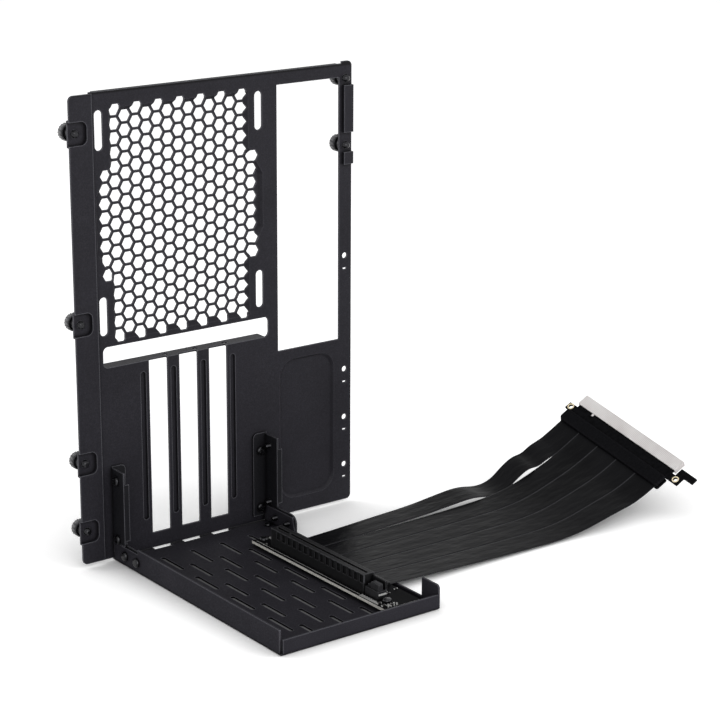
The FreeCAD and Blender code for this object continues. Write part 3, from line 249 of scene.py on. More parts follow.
def board_laminate(name):
    """Black solder mask with the faint relief of tracks under it."""
    grain, track_scale, track_relief = 420.0, 260.0, 0.00002
    m = Nodes(name)
    fine = m.noise(grain, 2.0, 0.5)
    tracks = m.add("ShaderNodeTexBrick", Scale=track_scale, offset=0.5)
    for socket, tone in (("Color1", 0.0), ("Color2", 0.5), ("Mortar", 1.0)):
        tracks.inputs[socket].default_value = (tone, tone, tone, 1.0)
    tracks.inputs["Mortar Size"].default_value = 0.03
    m.link(m.coords, tracks.inputs["Vector"])
    m.colour(m.ramp(fine, [(0.3, (0.0035, 0.0035, 0.004)), (0.7, (0.007, 0.007, 0.008))]))
    m.fixed("Specular IOR Level", 0.01)
    m.roughness(m.span(fine, 0.3, 0.7, 0.42, 0.55))
    m.bump(tracks.outputs["Fac"], 0.12, track_relief)
    return m.mat


def cable_film(name):
    """Satin black jacket: ridges of the wires inside, broad soft waves, clouding, and a painted highlight
    along its cut edges.
    """
    wire_count, wire_relief = 24, 0.00004
    clouding, grain = 34.0, 900.0
    wave_scale, wave_stretch, wave_relief = 1.6, (2.2, 0.9, 1.0), 0.0012
    m = Nodes(name)
    uv = m.add("ShaderNodeTexCoord").outputs["UV"]
    across = m.parts(uv)["X"]
    wires = m.math("SINE", m.math("MULTIPLY", across, 2 * math.pi * wire_count))
    cloud = m.noise(clouding, 2.0, 0.4)
    fine = m.noise(grain, 2.0, 0.5)
    from_middle = m.math("ABSOLUTE", m.math("SUBTRACT", across, 0.5))
    film = m.ramp(cloud, [(0.3, srgb(9, 9, 11)), (0.7, srgb(18, 18, 20))])
    # Painted highlight: near both cut edges the film turns pale grey, standing in for the light the strips'
    # edges catch
    m.colour(m.blend(m.span(from_middle, 0.472, 0.495, 0.0, 1.0), film, srgb(58, 58, 61)))
    m.roughness(m.span(cloud, 0.3, 0.7, 0.30, 0.40))
    m.fixed("Specular IOR Level", 0.05)
    stretched = m.vector("MULTIPLY", uv, wave_stretch)["Vector"]
    m.bump(m.noise(wave_scale, 2.0, 0.5, stretched), 0.5, wave_relief)
    m.bump(m.weigh(wires, 0.5, fine, 0.5), 0.12, wire_relief)
    return m.mat


def cap_plastic(name):
    """Pale translucent cap whose ribs repeat the contacts' pitch."""
    clouding, rib_relief, scatter = 60.0, 0.00008, 0.002
    m = Nodes(name)
    along = m.vector("DOT_PRODUCT", m.coords, ALONG)["Value"]
    ribs = m.math("SINE", m.math("MULTIPLY", along, 2 * math.pi / (CONTACT_PITCH * MM)))
    mixed = m.weigh(m.noise(clouding, 2.0, 0.5), 0.55, ribs, 0.12)
    m.colour(m.ramp(mixed, [(0.1, srgb(214, 208, 207)), (0.3, srgb(238, 234, 232)),
                            (0.5, srgb(249, 247, 246))]))
    m.fixed("Roughness", 0.35)
    m.fixed("Subsurface Weight", 0.15)
    m.fixed("Subsurface Radius", (scatter, scatter, scatter))
    m.fixed("Transmission Weight", 0.12)
    m.bump(ribs, 0.25, rib_relief)
    return m.mat


# The plug's own axes: along its contacts, off its board, and out of its shell
ALONG = Vector((0.0451, -0.9663, -0.2538)).normalized()
UP = ALONG.cross(Vector((0.8407, -0.1006, 0.5323))).normalized()
FORWARD = UP.cross(ALONG)
CONTACT_PITCH = 1.0
# Height at which the panel's top fold starts, in metres
TOP_FOLD = 0.2701

PANEL = powder_coat("panel_metal", srgb(36, 35, 40), rough=0.5, fold=TOP_FOLD)
TRAY = powder_coat("tray_metal", srgb(46, 45, 50), rough=0.5, gloss=0.02)
BRACKET = powder_coat("bracket_metal", srgb(26, 26, 29), rough=0.46)
SCREW = metal("screw_black", srgb(32, 32, 35), rough=0.28, metallic=0.85, lacquer=0.25)
# Painted shade: the driver cross of each screw is coloured near black, darker than the screw's metal, for
# the shade in a well drawn only a fraction of a millimetre deep
RECESS_SHADE = moulded("screw_recess_shade", srgb(10, 10, 11), rough=0.6)
# The slot housing takes the strongest painted edge highlight of the plastics, on its ribs
SLOT = moulded("slot_plastic", srgb(26, 26, 27), rough=0.42, edge_highlight=0.8)
RETAINER = moulded("retainer_plastic", srgb(44, 44, 46), rough=0.45)
BOARD = board_laminate("board_laminate")
# The board's cut edge keeps the painted crease shade but takes no painted edge highlight
EDGE = moulded("board_edge", srgb(206, 204, 198), rough=0.55, edge_highlight=0.0)
CONTACT = metal("contact_metal", srgb(222, 190, 120), rough=0.28)
TIN = metal("ring_metal", srgb(240, 226, 190), rough=0.35, metallic=0.5)
FILM = cable_film("cable_film")
SHELL = moulded("shell_plastic", srgb(20, 20, 22), rough=0.58, gloss=0.006)
CAP = cap_plastic("cap_plastic")
CHIP = moulded("chip_plastic", srgb(52, 50, 48), rough=0.45)
SOLDER = metal("solder", srgb(206, 206, 204), rough=0.4, metallic=0.35)


def soften(item, width, segments=2, angle=35.0):
    """Round the edges that are sharper than an angle."""
    soft = item.modifiers.new("soft_edges", "BEVEL")
    soft.width = width
    soft.segments = segments
    soft.limit_method = "ANGLE"
    soft.angle_limit = math.radians(angle)


def dress(name, material, bevel=0.0, segments=2, angle=35.0):
    """A CAD node keeps its mesh and gets a finish and, where asked, softened edges."""
    item = nodes[name]
    item.data.materials.clear()
    item.data.materials.append(material)
    if bevel:
        weld = item.modifiers.new("weld", "WELD")
        weld.merge_threshold = 0.00001
        soften(item, bevel, segments, angle)


dress("rear_panel", PANEL, 0.00018, 2, 40.0)
dress("tray", TRAY, 0.00018, 2, 40.0)
dress("left_bracket", BRACKET, 0.0002)
dress("right_bracket", BRACKET, 0.0002)
dress("riser_board", BOARD, 0.0001, 1)
dress("board_spacers", TIN, 0.0001, 1)
dress("slot_housing", SLOT, 0.00015)
dress("cable_bar", SLOT, 0.0004, 3)
dress("plug_board", BOARD, 0.0001, 1)
dress("ear_rings", TIN)
dress("plug_filler", SHELL)
dress("contact_cap", CAP, 0.00025)


# Pieces made here


def finish_mesh(name, bm, materials, node_names=(), smooth=None):
    """Turn a bmesh into a piece that rides on the part.

    With smooth, it is shaded smooth up to that angle between its faces, in degrees.
    """
    mesh = bpy.data.meshes.new(name)
    bm.normal_update()
    bm.to_mesh(mesh)
    bm.free()
    for material in materials:
        mesh.materials.append(material)
    item = bpy.data.objects.new(name, mesh)
    bpy.context.scene.collection.objects.link(item)
    if smooth is not None:
        mesh.shade_smooth()
        edges = item.modifiers.new("split", "EDGE_SPLIT")
        edges.split_angle = math.radians(smooth)
    if node_names:
        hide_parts(*node_names)
    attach(item, "root")
    return item


def bridge(bm, a, b):
    """Faces between two closed rings of as many points."""
    for k in range(len(a)):
        j = (k + 1) % len(a)
        bm.faces.new((a[k], a[j], b[j], b[k]))


POINTS_PER_FLUTE = 4


def lathe(bm, place, profile, sides, flute=0.0):
    """A closed turned form about the local Z axis, from rings of (height, radius, fluted).

    A fluted ring is pulled in by flute between every fourth point and the next.
    """
    rings = []
    for height, radius, fluted in profile:
        ring = []
        for k in range(sides):
            angle = 2 * math.pi * k / sides
            r = radius
            if fluted:
                r -= flute * (0.5 - 0.5 * math.cos(angle * sides / POINTS_PER_FLUTE))
            ring.append(bm.verts.new(place @ Vector((r * math.cos(angle), r * math.sin(angle), height))))
        rings.append(ring)
    for a, b in zip(rings, rings[1:]):
        bridge(bm, a, b)
    bm.faces.new(list(reversed(rings[0])))
    bm.faces.new(rings[-1])


def cross_recess(bm, place, size, width, depth, top):
    """A driver cross in a head: a shallow well that narrows downwards, in the piece's second material, which
    is painted shade.
    """
    recess_slot, taper = 1, 0.55
    outline = []
    w, r = width / 2, size / 2
    for quarter in range(4):
        turn = Matrix.Rotation(quarter * math.pi / 2, 4, "Z")
        outline += [turn @ Vector((x, y, 0)) for x, y in ((w, w), (r, w), (r, -w))]
    outline.sort(key=lambda point: math.atan2(point.y, point.x))
    rim = [bm.verts.new(place @ (point + Vector((0, 0, top)))) for point in outline]
    floor = [bm.verts.new(place @ (point * taper + Vector((0, 0, top - depth)))) for point in outline]
    for k in range(len(rim)):
        j = (k + 1) % len(rim)
        bm.faces.new((rim[k], rim[j], floor[j], floor[k])).material_index = recess_slot
    bm.faces.new(floor).material_index = recess_slot


def pan_head(bm, place, head_radius, height, shank_radius, length):
    """Domed head on +Z with its seat at Z 0, and a threaded shank below, in metres."""
    sides, dome_steps, proud = 32, 6, 0.00002
    point, pitch = 0.0006, 0.0005
    rim = 0.28
    profile = [(-length, shank_radius * 0.72, False), (-length + point, shank_radius, False)]
    for k in range(max(2, int((length - point) / pitch))):
        z = -length + point + pitch * k
        profile.append((z + pitch * 0.5, shank_radius * 0.9, False))
        profile.append((z + pitch * 0.98, shank_radius, False))
    profile += [(0.0, shank_radius, False), (0.0, head_radius * 0.985, False),
                (height * rim, head_radius, False)]
    for k in range(1, dome_steps):
        a = k / dome_steps * math.pi / 2
        profile.append((height * (rim + (1 - rim) * math.sin(a)),
                        head_radius * (1 - 0.42 * (1 - math.cos(a))), False))
    profile.append((height, head_radius * 0.5, False))
    lathe(bm, place, profile, sides)
    cross_recess(bm, place @ Matrix.Rotation(0.4, 4, "Z"), head_radius * 1.05, head_radius * 0.27,
                 height * 0.05, height + proud)


def aim(point, direction):
    """Local Z along a direction, at a point."""
    turn = Vector(direction).to_track_quat("Z", "Y")
    return Matrix.Translation(point) @ turn.to_matrix().to_4x4()


# Screws of the brackets and the riser board, on the same seats as in the source, and one of the tray.
# OUTER is the outer face of a bracket's web, and HEAD_FACE what its web and foot screws bear on.

OUTER = {"left": 7.47, "right": 113.1}
HEAD_FACE = {"left": 7.47, "right": 114.1}
HEAD_RADIUS, HEAD_HEIGHT, SHANK_RADIUS = 2.7 * MM, 1.8 * MM, 1.5 * MM
BOARD_TOP = 4.6


def seat_screws(name, spots, node_names):
    """Cross-head screws as one piece, from spots of (point, direction, length)."""
    bm = bmesh.new()
    for spot, direction, reach in spots:
        pan_head(bm, aim(at(*spot), direction), HEAD_RADIUS, HEAD_HEIGHT, SHANK_RADIUS, reach * MM)
    finish_mesh(name, bm, [SCREW, RECESS_SHADE], node_names, smooth=38)


for side, sign in (("left", -1), ("right", 1)):
    outer = OUTER[side]
    head_face = HEAD_FACE[side]
    sets = {
        "leg": [((outer - 3.8 * sign, -1.0, z), (0, -1, 0), 5.2) for z in (10.2, 46.0)],
        "web": [((head_face, -5.6, z), (sign, 0, 0), 4.2) for z in (14.2, 49.6)],
        "foot": [((head_face, y, 6.4), (sign, 0, 0), 5.2) for y in (-13.2, -25.7)],
    }
    for kind, spots in sets.items():
        name = "%s_%s_screws" % (side, kind)
        seat_screws(name + "_turned", spots, [name])

spots = [((x, y, BOARD_TOP), (0, 0, 1), 3.6) for x, y in ((88.0, -35.0), (90.0, -150.5))]
seat_screws("board_screws_turned", spots, ["board_screws"])

bm = bmesh.new()
pan_head(bm, aim(at(109.0, -9.0, 1.0), (0, 0, 1)), 2.2 * MM, 1.5 * MM, 1.2 * MM, 0.9 * MM)
finish_mesh("tray_screw", bm, [SCREW, RECESS_SHADE], smooth=38)

# Thumb screws: knurled head, plain collar, threaded point

THUMB_SIDES, FLUTE_DEPTH = 72, 0.42
THREAD_RADIUS, ROOT_RADIUS, THREAD_START, THREAD_END, THREAD_PITCH = 1.75, 1.55, -3.4, -0.6, 0.5
# Rings of (height, radius, fluted) in millimetres, from the seat to the head's top
THUMB_HEAD = [(0.0, 1.75, False), (0.0, 3.4, False), (0.25, 3.5, False), (3.3, 3.5, False),
              (3.4, 3.9, False), (3.4, 4.55, False), (3.9, 5.1, True), (7.9, 5.1, True),
              (8.3, 4.6, False), (8.4, 4.3, False), (8.4, 2.0, False)]


def thumb_screw(name, x, seat, z):
    bm = bmesh.new()
    place = aim(at(x, seat, z), (0, 1, 0))
    body = [(-4.0, 1.1, False), (THREAD_START, THREAD_RADIUS, False)]
    height = THREAD_START
    while height < THREAD_END:
        body += [(height + THREAD_PITCH / 2, ROOT_RADIUS, False),
                 (height + THREAD_PITCH, THREAD_RADIUS, False)]
        height += THREAD_PITCH
    rings = [(height * MM, radius * MM, fluted) for height, radius, fluted in body + THUMB_HEAD]
    lathe(bm, place, rings, THUMB_SIDES, FLUTE_DEPTH * MM)
    cross_recess(bm, place, 4.2 * MM, 1.1 * MM, 0.05 * MM, 8.42 * MM)
    finish_mesh(name + "_knurled", bm, [SCREW, RECESS_SHADE], [name], smooth=30)


for number, z in enumerate((250.1, 143.1, 61.9, 21.2), start=1):
    thumb_screw("thumb_screw_left_%d" % number, -9.4, 1.5, z)
for number, z in enumerate((263.0, 223.4), start=1):
    thumb_screw("thumb_screw_right_%d" % number, 172.3, 1.0, z)


def block(bm, x0, x1, y0, y1, z0, z1, material=0, bevel=0.0, place=None):
    """A block between two corners, in the source's millimetres or in a local place, softened where asked."""
    corners = []
    for z in (z0, z1):
        for x, y in ((x0, y0), (x1, y0), (x1, y1), (x0, y1)):
            point = at(x, y, z) if place is None else place @ (Vector((x, y, z)) * MM)
            corners.append(bm.verts.new(point))
    faces = []
    for face in ((3, 2, 1, 0), (4, 5, 6, 7), (0, 1, 5, 4), (1, 2, 6, 5), (2, 3, 7, 6), (3, 0, 4, 7)):
        made = bm.faces.new([corners[i] for i in face])
        made.material_index = material
        faces.append(made)
    if bevel:
        edges = list({edge for face in faces for edge in face.edges})
        bmesh.ops.bevel(bm, geom=edges, offset=bevel * MM, segments=2, profile=0.6, affect="EDGES",
                        material=material)


# Contacts of the slot: two rows of single springs instead of two bars

SLOT_MIDDLE, ROW_OFFSET, SPRING_WIDTH, SPRING_THICK = 89.75, 0.9, 0.6, 0.3
SLOT_FRONT, SLOT_BACK = -131.2, -61.0
# A spring's lower and upper end, and its share of the full thickness
SPRING_STEPS = ((7.9, 12.2, 1.0), (12.2, 13.2, 0.55))

bm = bmesh.new()
for side in (-1, 1):
    wall = SLOT_MIDDLE + ROW_OFFSET * side
    y = SLOT_FRONT
    while y < SLOT_BACK:
        for low, high, share in SPRING_STEPS:
            near, far = sorted((wall, wall - SPRING_THICK * side * share))
            block(bm, near, far, y, y + SPRING_WIDTH, low, high)
        y += CONTACT_PITCH
finish_mesh("slot_contact_springs", bm, [CONTACT], ["slot_contacts"])

# Riser board: pale cut edges and a line of tin along the slot

bm = bmesh.new()
block(bm, 82.02, 106.58, -158.49, -158.46, 3.05, 4.55, 0)
block(bm, 81.97, 82.05, -158.49, -31.82, 3.05, 4.62, 0)
block(bm, 83.9, 84.25, -133.5, -33.5, BOARD_TOP, 4.64, 1)
finish_mesh("board_cut_edge", bm, [EDGE, SOLDER])

# Capacitors and resistors: the middle, width, depth and height of each, with a soldered cap at both ends
SMALL_PARTS = (
    (84.4, -150.6, 2.0, 1.2, 0.9), (84.4, -154.8, 2.0, 1.2, 0.9), (88.6, -156.2, 2.4, 1.4, 1.0),
    (97.2, -139.5, 1.6, 0.8, 0.6), (97.2, -142.0, 1.6, 0.8, 0.6), (104.4, -139.5, 1.6, 0.8, 0.6),
    (94.0, -35.6, 3.0, 1.8, 1.2), (93.6, -40.2, 2.0, 1.2, 0.8), (98.4, -36.0, 2.0, 1.2, 0.8),
    (104.0, -36.5, 1.6, 0.8, 0.6), (84.6, -41.5, 1.6, 0.8, 0.6))
CAP_WIDTH, CAP_HEIGHT = 0.45, 0.8

bm = bmesh.new()
for x, y, w, d, h in SMALL_PARTS:
    block(bm, x - w / 2, x + w / 2, y - d / 2, y + d / 2, BOARD_TOP, BOARD_TOP + h, 0, 0.12)
    for end in (-1, 1):
        low, high = sorted((x + end * w / 2, x + end * (w / 2 + CAP_WIDTH)))
        block(bm, low, high, y - d / 2, y + d / 2, BOARD_TOP, BOARD_TOP + h * CAP_HEIGHT, 1, 0.1)
# Tails of the slot's contacts, long and short in turn, and the solder dots in front of the latch
for k in range(16):
    y = -134.9 - k * CONTACT_PITCH
    block(bm, 82.7, 85.2 - 0.3 * (k % 2), y - 0.22, y + 0.22, BOARD_TOP, 4.85, 1, 0.06)
for row in range(3):
    for k in range(4):
        x, y = 85.6 + 2.0 * k + row % 2, -154.4 - 1.4 * row
        block(bm, x - 0.45, x + 0.45, y - 0.4, y + 0.4, BOARD_TOP, 4.95, 1, 0.15)
finish_mesh("board_small_parts", bm, [CHIP, SOLDER])

# Latch at the slot's front end: its block and thumb rest, the arm along the rail, and the metal clip
bm = bmesh.new()
block(bm, 86.7, 92.9, -146.4, -134.4, BOARD_TOP, 9.4, 0, 0.4)
block(bm, 87.0, 90.6, -146.3, -139.4, 9.3, 13.4, 0, 0.7)
block(bm, 87.6, 90.0, -139.6, -136.2, 9.3, 11.2, 0, 0.4)
block(bm, 91.9, 93.4, -146.4, -134.4, 9.2, 14.6, 1, 0.4)
for k in range(4):
    y = -145.4 + 1.5 * k
    block(bm, 87.3, 90.3, y, y + 0.6, 13.3, 13.6, 0, 0.12)
block(bm, 87.2, 92.4, -146.75, -146.35, 6.9, 7.9, 2, 0.1)
block(bm, 92.85, 93.2, -145.9, -140.0, 6.9, 7.9, 2, 0.1)
finish_mesh("slot_latch", bm, [RETAINER, SLOT, SOLDER], ["slot_retainer"])

# Plug, drawn in its own frame: X along its contacts, Y out of its shell, Z off its board

PLUG_CENTRE = Vector((315.5, -91.8, 33.0))
plug_turn = Matrix((ALONG, FORWARD, UP)).transposed().to_4x4()
plug_place = Matrix.Translation(at(*PLUG_CENTRE)) @ plug_turn
SHELL_LEFT, SHELL_RIGHT, SHELL_BACK = -45.1, 42.5, -8.7
SHELL_LOW, SHELL_HIGH = 0.8, 2.8
# The shell's outer face falls away further at its right end
END_SLOPE = 2.1


def shell_half(name, sign):
    """Half of the plug's shell, with cut corners and sides that slope in towards its outer face."""
    bm = bmesh.new()
    left, right, back, front = SHELL_LEFT, SHELL_RIGHT, SHELL_BACK, 0.0
    low, high = SHELL_LOW * sign, SHELL_HIGH * sign
    outline = [(left + 1.8, back), (right - 0.8, back), (right, back + 0.8), (right, front - 0.4),
               (right - 0.4, front), (left + 0.4, front), (left, front - 0.4), (left, back + 1.8)]
    steps = [(low, 0.0, 0.0), (low + 1.25 * sign, 0.0, 0.0), (low + 1.8 * sign, 0.35, 0.35),
             (high, 0.95, END_SLOPE)]
    middle_x, middle_y = (left + right) / 2, (back + front) / 2
    rings = []
    for z, inset, right_inset in steps:
        ring = []
        for x, y in outline:
            dx = right_inset if x > middle_x else -inset
            dy = inset if y >= middle_y else -inset
            ring.append(bm.verts.new(plug_place @ (Vector((x - dx, y - dy, z)) * MM)))
        rings.append(ring)
    for a, b in zip(rings, rings[1:]):
        bridge(bm, a, b)
    bm.faces.new(rings[0])
    bm.faces.new(rings[-1])
    bmesh.ops.recalc_face_normals(bm, faces=bm.faces)
    item = finish_mesh(name + "_moulded", bm, [SHELL], [name])
    soften(item, 0.00025, angle=30.0)
    return item


upper = shell_half("plug_shell_upper", 1)
lower = shell_half("plug_shell_lower", -1)

# Gold fingers under the cap, on both faces of the plug's board, with the gap where the board is notched
FINGERS_END, FINGER_WIDTH, FINGER_BACK, FINGER_FRONT, FINGER_FACE = 41.6, 0.7, 8.0, 13.4, 0.84
NOTCH_LEFT, NOTCH_RIGHT = -30.9, -28.0

bm = bmesh.new()
x = -FINGERS_END
while x < FINGERS_END:
    if not NOTCH_LEFT < x < NOTCH_RIGHT:
        for sign in (-1, 1):
            low, high = sorted((SHELL_LOW * sign, FINGER_FACE * sign))
            block(bm, x, x + FINGER_WIDTH, FINGER_BACK, FINGER_FRONT, low, high, place=plug_place)
    x += CONTACT_PITCH
fingers = finish_mesh("plug_fingers", bm, [CONTACT])

# Flat cable: the source's route, smoothed as a spline, and a thin rounded section carried along it.
# Each station is a point and how far the strip leans sideways there.

CABLE = [((106.6, -88.9, 4.2), 0.0), ((153.0, -88.9, 4.25), 0.045), ((201.0, -89.2, 4.6), 0.08),
         ((243.0, -90.0, 6.0), 0.115), ((277.0, -90.1, 15.9), 0.178)]
# The rear strip alone ripples on its way to the plug: its own middle line, raised and lowered
REAR_STRIP = [((106.6, -55.1, 4.2), 0.0), ((130.0, -55.2, 4.9), 0.02), ((160.0, -55.3, 6.6), 0.03),
              ((186.0, -55.4, 7.6), 0.05), ((206.0, -55.7, 9.8), 0.10), ((223.0, -56.0, 11.4), 0.12),
              ((238.0, -56.3, 8.6), 0.10), ((249.0, -56.5, 10.8), 0.10), ((258.0, -56.7, 17.4), 0.15),
              ((266.0, -56.8, 21.6), 0.18), ((274.0, -56.7, 21.8), 0.24), ((281.0, -56.5, 25.2), 0.30),
              ((286.5, -56.3, 26.8), 0.30), ((293.0, -56.1, 29.0), 0.27)]
STRIPS, STRIP_WIDTH, STRIP_PITCH, STRIP_THICK = 5, 16.8, 16.88, 0.7
# Where the strips' middle enters the shell, and how far before it they already run straight
CABLE_END = PLUG_CENTRE + FORWARD * SHELL_BACK - ALONG * 1.3
STRAIGHT_IN = 13.0
# Across the strip from -1 to 1: the share of the full thickness on its flat, and at its cut edges
SECTION_STEPS, EDGE_START, FLAT_SHARE, EDGE_SHARE, CROWN_SHARE = 24, 0.97, 0.8, 0.35, 0.12
# Length of cable, in metres, that one unit of the film's pattern covers
PATTERN_LENGTH = 0.02


def leaning(points):
    return [(Vector(p), Vector((0, -math.sqrt(1 - lean * lean), -lean))) for p, lean in points]


stations = leaning(CABLE) + [(CABLE_END - FORWARD * STRAIGHT_IN, ALONG), (CABLE_END, ALONG)]


def spline(points):
    """The smooth line of a route, as a list of points in metres in the row frame."""
    data = bpy.data.curves.new("route", "CURVE")
    data.dimensions = "3D"
    line = data.splines.new("NURBS")
    line.points.add(len(points) - 1)
    for point, where in zip(line.points, points):
        point.co = (*at(*where), 1.0)
    line.order_u = 3
    line.use_endpoint_u = True
    line.resolution_u = 16
    item = bpy.data.objects.new("route", data)
    bpy.context.scene.collection.objects.link(item)
    mesh = bpy.data.meshes.new_from_object(item)
    result = [v.co.copy() for v in mesh.vertices]
    bpy.data.objects.remove(item)
    bpy.data.curves.remove(data)
    bpy.data.meshes.remove(mesh)
    return result


# The upper side of the section as (place across, height), and the loop round both sides
SECTION = []
for k in range(SECTION_STEPS + 1):
    u = -1 + 2 * k / SECTION_STEPS
    SECTION.append((u, 1.0 if abs(u) < EDGE_START else EDGE_SHARE))
SECTION_LOOP = SECTION + [(u, -h) for u, h in reversed(SECTION)]


def ribbon(number):
    """One strip of the cable, counted from the rear, with its middle line and its length."""
    offset = (number - STRIPS // 2) * STRIP_PITCH
    half = STRIP_WIDTH / 2
    line = [(p + lean * offset, lean) for p, lean in stations]
    if number == 0:
        line = leaning(REAR_STRIP) + line[-1:]
    first = spline([p - lean * half for p, lean in line])
    second = spline([p + lean * half for p, lean in line])
    path = [(a + b) / 2 for a, b in zip(first, second)]
    travelled = [0.0]
    for a, b in zip(path, path[1:]):
        travelled.append(travelled[-1] + (b - a).length)
    bm = bmesh.new()
    uv = bm.loops.layers.uv.new("across_and_along")
    rings = []
    last = len(path) - 1
    for i, point in enumerate(path):
        if i == 0:
            ahead = Vector((1, 0, 0))
        elif i == last:
            ahead = FORWARD
        else:
            ahead = (path[i + 1] - path[i - 1]).normalized()
        across = (second[i] - first[i]).normalized()
        across = (across - ahead * across.dot(ahead)).normalized()
        up = across.cross(ahead)
        ring = []
        for u, h in SECTION_LOOP:
            crown = (1 - u * u) * CROWN_SHARE * (1 if h > 0 else -1)
            height = STRIP_THICK / 2 * h * FLAT_SHARE + crown * STRIP_THICK
            ring.append(bm.verts.new(point + across * (u * half * MM) + up * (height * MM)))
        rings.append(ring)
    for i in range(last):
        start, end = travelled[i], travelled[i + 1]
        for k in range(len(SECTION_LOOP)):
            j = (k + 1) % len(SECTION_LOOP)
            face = bm.faces.new((rings[i][k], rings[i][j], rings[i + 1][j], rings[i + 1][k]))
            a, b = SECTION_LOOP[k][0], SECTION_LOOP[j][0]
            for loop, (u, v) in zip(face.loops, ((a, start), (b, start), (b, end), (a, end))):
                loop[uv].uv = (u / 2 + 0.5, v / PATTERN_LENGTH)
    bm.faces.new(list(reversed(rings[0])))
    bm.faces.new(rings[-1])
    bmesh.ops.recalc_face_normals(bm, faces=bm.faces)
    name = "cable_strip_%d" % (number + 1)
    item = finish_mesh(name + "_film", bm, [FILM], [name], smooth=50)
    return item, path, travelled[-1]


for number in range(STRIPS):
    item, path, length = ribbon(number)

# Floor, light and camera


def background_rays(tree):
    """1 for a ray that sees the white background: straight, in a reflection or through something clear."""
    rays = tree.nodes.new("ShaderNodeLightPath").outputs
    seen = rays["Is Camera Ray"]
    for kind in ("Is Glossy Ray", "Is Transmission Ray"):
        either = tree.nodes.new("ShaderNodeMath")
        either.operation = "MAXIMUM"
        tree.links.new(seen, either.inputs[0])
        tree.links.new(rays[kind], either.inputs[1])
        seen = either.outputs["Value"]
    return seen


FLOOR_HALF, FLOOR_Z = 6, -0.0002
floor_mesh = bpy.data.meshes.new("floor")
corners = [(x * FLOOR_HALF, y * FLOOR_HALF, FLOOR_Z) for x, y in ((-1, -1), (1, -1), (1, 1), (-1, 1))]
floor_mesh.from_pydata(corners, [], [(0, 1, 2, 3)])
floor = bpy.data.objects.new("floor", floor_mesh)
bpy.context.scene.collection.objects.link(floor)
paper = Nodes("paper")
paper.fixed("Roughness", 0.9)
paper.fixed("Specular IOR Level", 0.1)
pale = paper.ramp(paper.noise(3.0), [(0.3, (0.84, 0.84, 0.84)), (0.7, (0.86, 0.86, 0.86))])
# The paper right under the tray, which shows only through its vents, lies in the tray's shade
SHADE_INSET, SHADE_DEPTH = 0.002, 0.86
tray_low, tray_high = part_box("tray")
place = paper.parts(paper.coords)
under = 1.0
for number, axis in enumerate("XY"):
    for test, edge in (("GREATER_THAN", tray_low[number] + SHADE_INSET),
                       ("LESS_THAN", tray_high[number] - SHADE_INSET)):
        under = paper.math("MULTIPLY", under, paper.math(test, place[axis], edge))
lit = paper.math("SUBTRACT", 1.0, paper.math("MULTIPLY", under, SHADE_DEPTH))
paper.colour(paper.scaled(pale, lit))
# The white of the background gives way to the object's shade near it
SHADE_REACH, WHITE = 0.14, 0.75
open_sky = paper.add("ShaderNodeAmbientOcclusion", samples=8, Distance=SHADE_REACH).outputs["AO"]
seen = background_rays(paper.tree)
white = paper.math("MULTIPLY", paper.math("POWER", open_sky, 2.0), paper.math("MULTIPLY", seen, WHITE))
glow = paper.add("ShaderNodeEmission")
paper.link(paper.math("MULTIPLY", white, lit), glow.inputs["Strength"])
both = paper.add("ShaderNodeAddShader")
paper.link(paper.bsdf.outputs["BSDF"], both.inputs[0])
paper.link(glow.outputs["Emission"], both.inputs[1])
paper.link(both.outputs["Shader"], paper.tree.nodes["Material Output"].inputs["Surface"])
floor_mesh.materials.append(paper.mat)

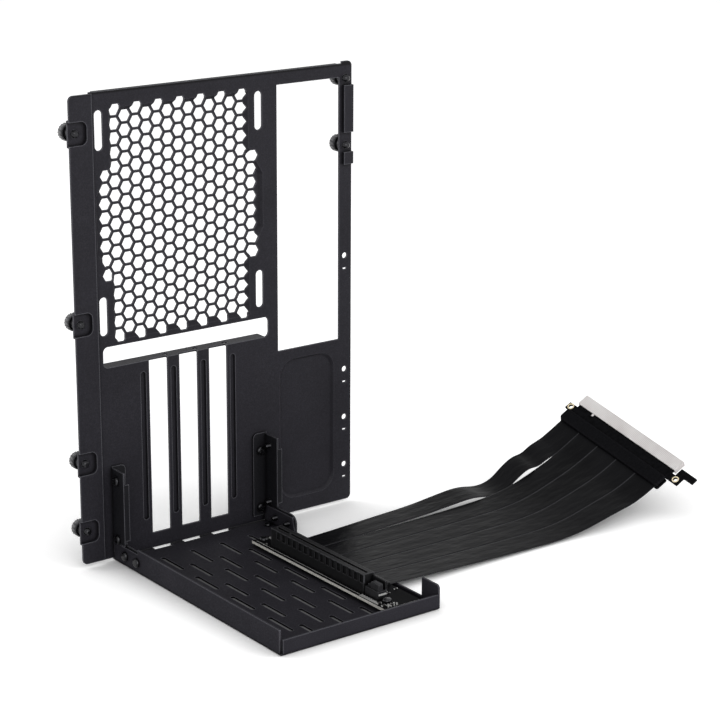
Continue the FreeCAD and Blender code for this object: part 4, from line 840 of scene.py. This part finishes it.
# The studio lights the object from its walls more than from its ceiling
WALL_LIGHT, CEILING_LIGHT = 0.55, 0.04
WALL_TOP, CEILING_START = 0.3, 0.75
world = bpy.data.worlds.new("studio")
bpy.context.scene.world = world
world.use_nodes = True
tree = world.node_tree
toward = tree.nodes.new("ShaderNodeTexCoord")
height = tree.nodes.new("ShaderNodeSeparateXYZ")
tree.links.new(toward.outputs["Generated"], height.inputs["Vector"])
studio = tree.nodes.new("ShaderNodeMapRange")
for key, value in (("From Min", WALL_TOP), ("From Max", CEILING_START),
                   ("To Min", WALL_LIGHT), ("To Max", CEILING_LIGHT)):
    studio.inputs[key].default_value = value
tree.links.new(height.outputs["Z"], studio.inputs["Value"])
level = tree.nodes.new("ShaderNodeMapRange")
tree.links.new(background_rays(tree), level.inputs["Value"])
tree.links.new(studio.outputs["Result"], level.inputs["To Min"])
background = tree.nodes["Background"]
tree.links.new(level.outputs["Result"], background.inputs["Strength"])
background.inputs["Color"].default_value = (1.0, 1.0, 1.0, 1.0)


def lamp(name, place, target, size, power):
    data = bpy.data.lights.new(name, "AREA")
    data.shape = "SQUARE"
    data.size = size
    data.energy = power
    item = bpy.data.objects.new(name, data)
    item.location = place
    item.rotation_mode = "QUATERNION"
    item.rotation_quaternion = (Vector(target) - Vector(place)).to_track_quat("-Z", "Y")
    bpy.context.scene.collection.objects.link(item)


lamp("key", (-0.9, -1.6, 0.9), (0.02, 0.0, 0.08), 1.7, 24.0)
lamp("fill", (1.3, -1.4, 0.9), (0.05, 0.0, 0.1), 1.6, 14.0)
lamp("top", (0.6, -0.7, 1.8), (0.08, 0.0, 0.05), 1.6, 3.0)
lamp("rear", (-1.0, 1.7, 0.9), (0.0, 0.0, 0.12), 1.7, 16.0)

# The camera that was fitted to the photograph's known sizes
CAMERA_PLACE = (-0.66495, -0.95758, 0.47907)
CAMERA_RIGHT = Vector((0.79943, -0.60074, 0.00448))
CAMERA_UP = Vector((0.16877, 0.23174, 0.95803))
CAMERA_BACK = Vector((-0.57657, -0.76512, 0.28665))
camera_data = bpy.data.cameras.new("camera")
camera_data.lens = 111.635
camera_data.sensor_width = 36.0
camera_data.clip_start = 0.05
camera_data.clip_end = 30.0
camera = bpy.data.objects.new("camera", camera_data)
camera_turn = Matrix((CAMERA_RIGHT, CAMERA_UP, CAMERA_BACK)).transposed().to_4x4()
camera.matrix_world = Matrix.Translation(CAMERA_PLACE) @ camera_turn
bpy.context.scene.collection.objects.link(camera)
bpy.context.scene.camera = camera
bpy.context.scene.view_settings.view_transform = "Standard"
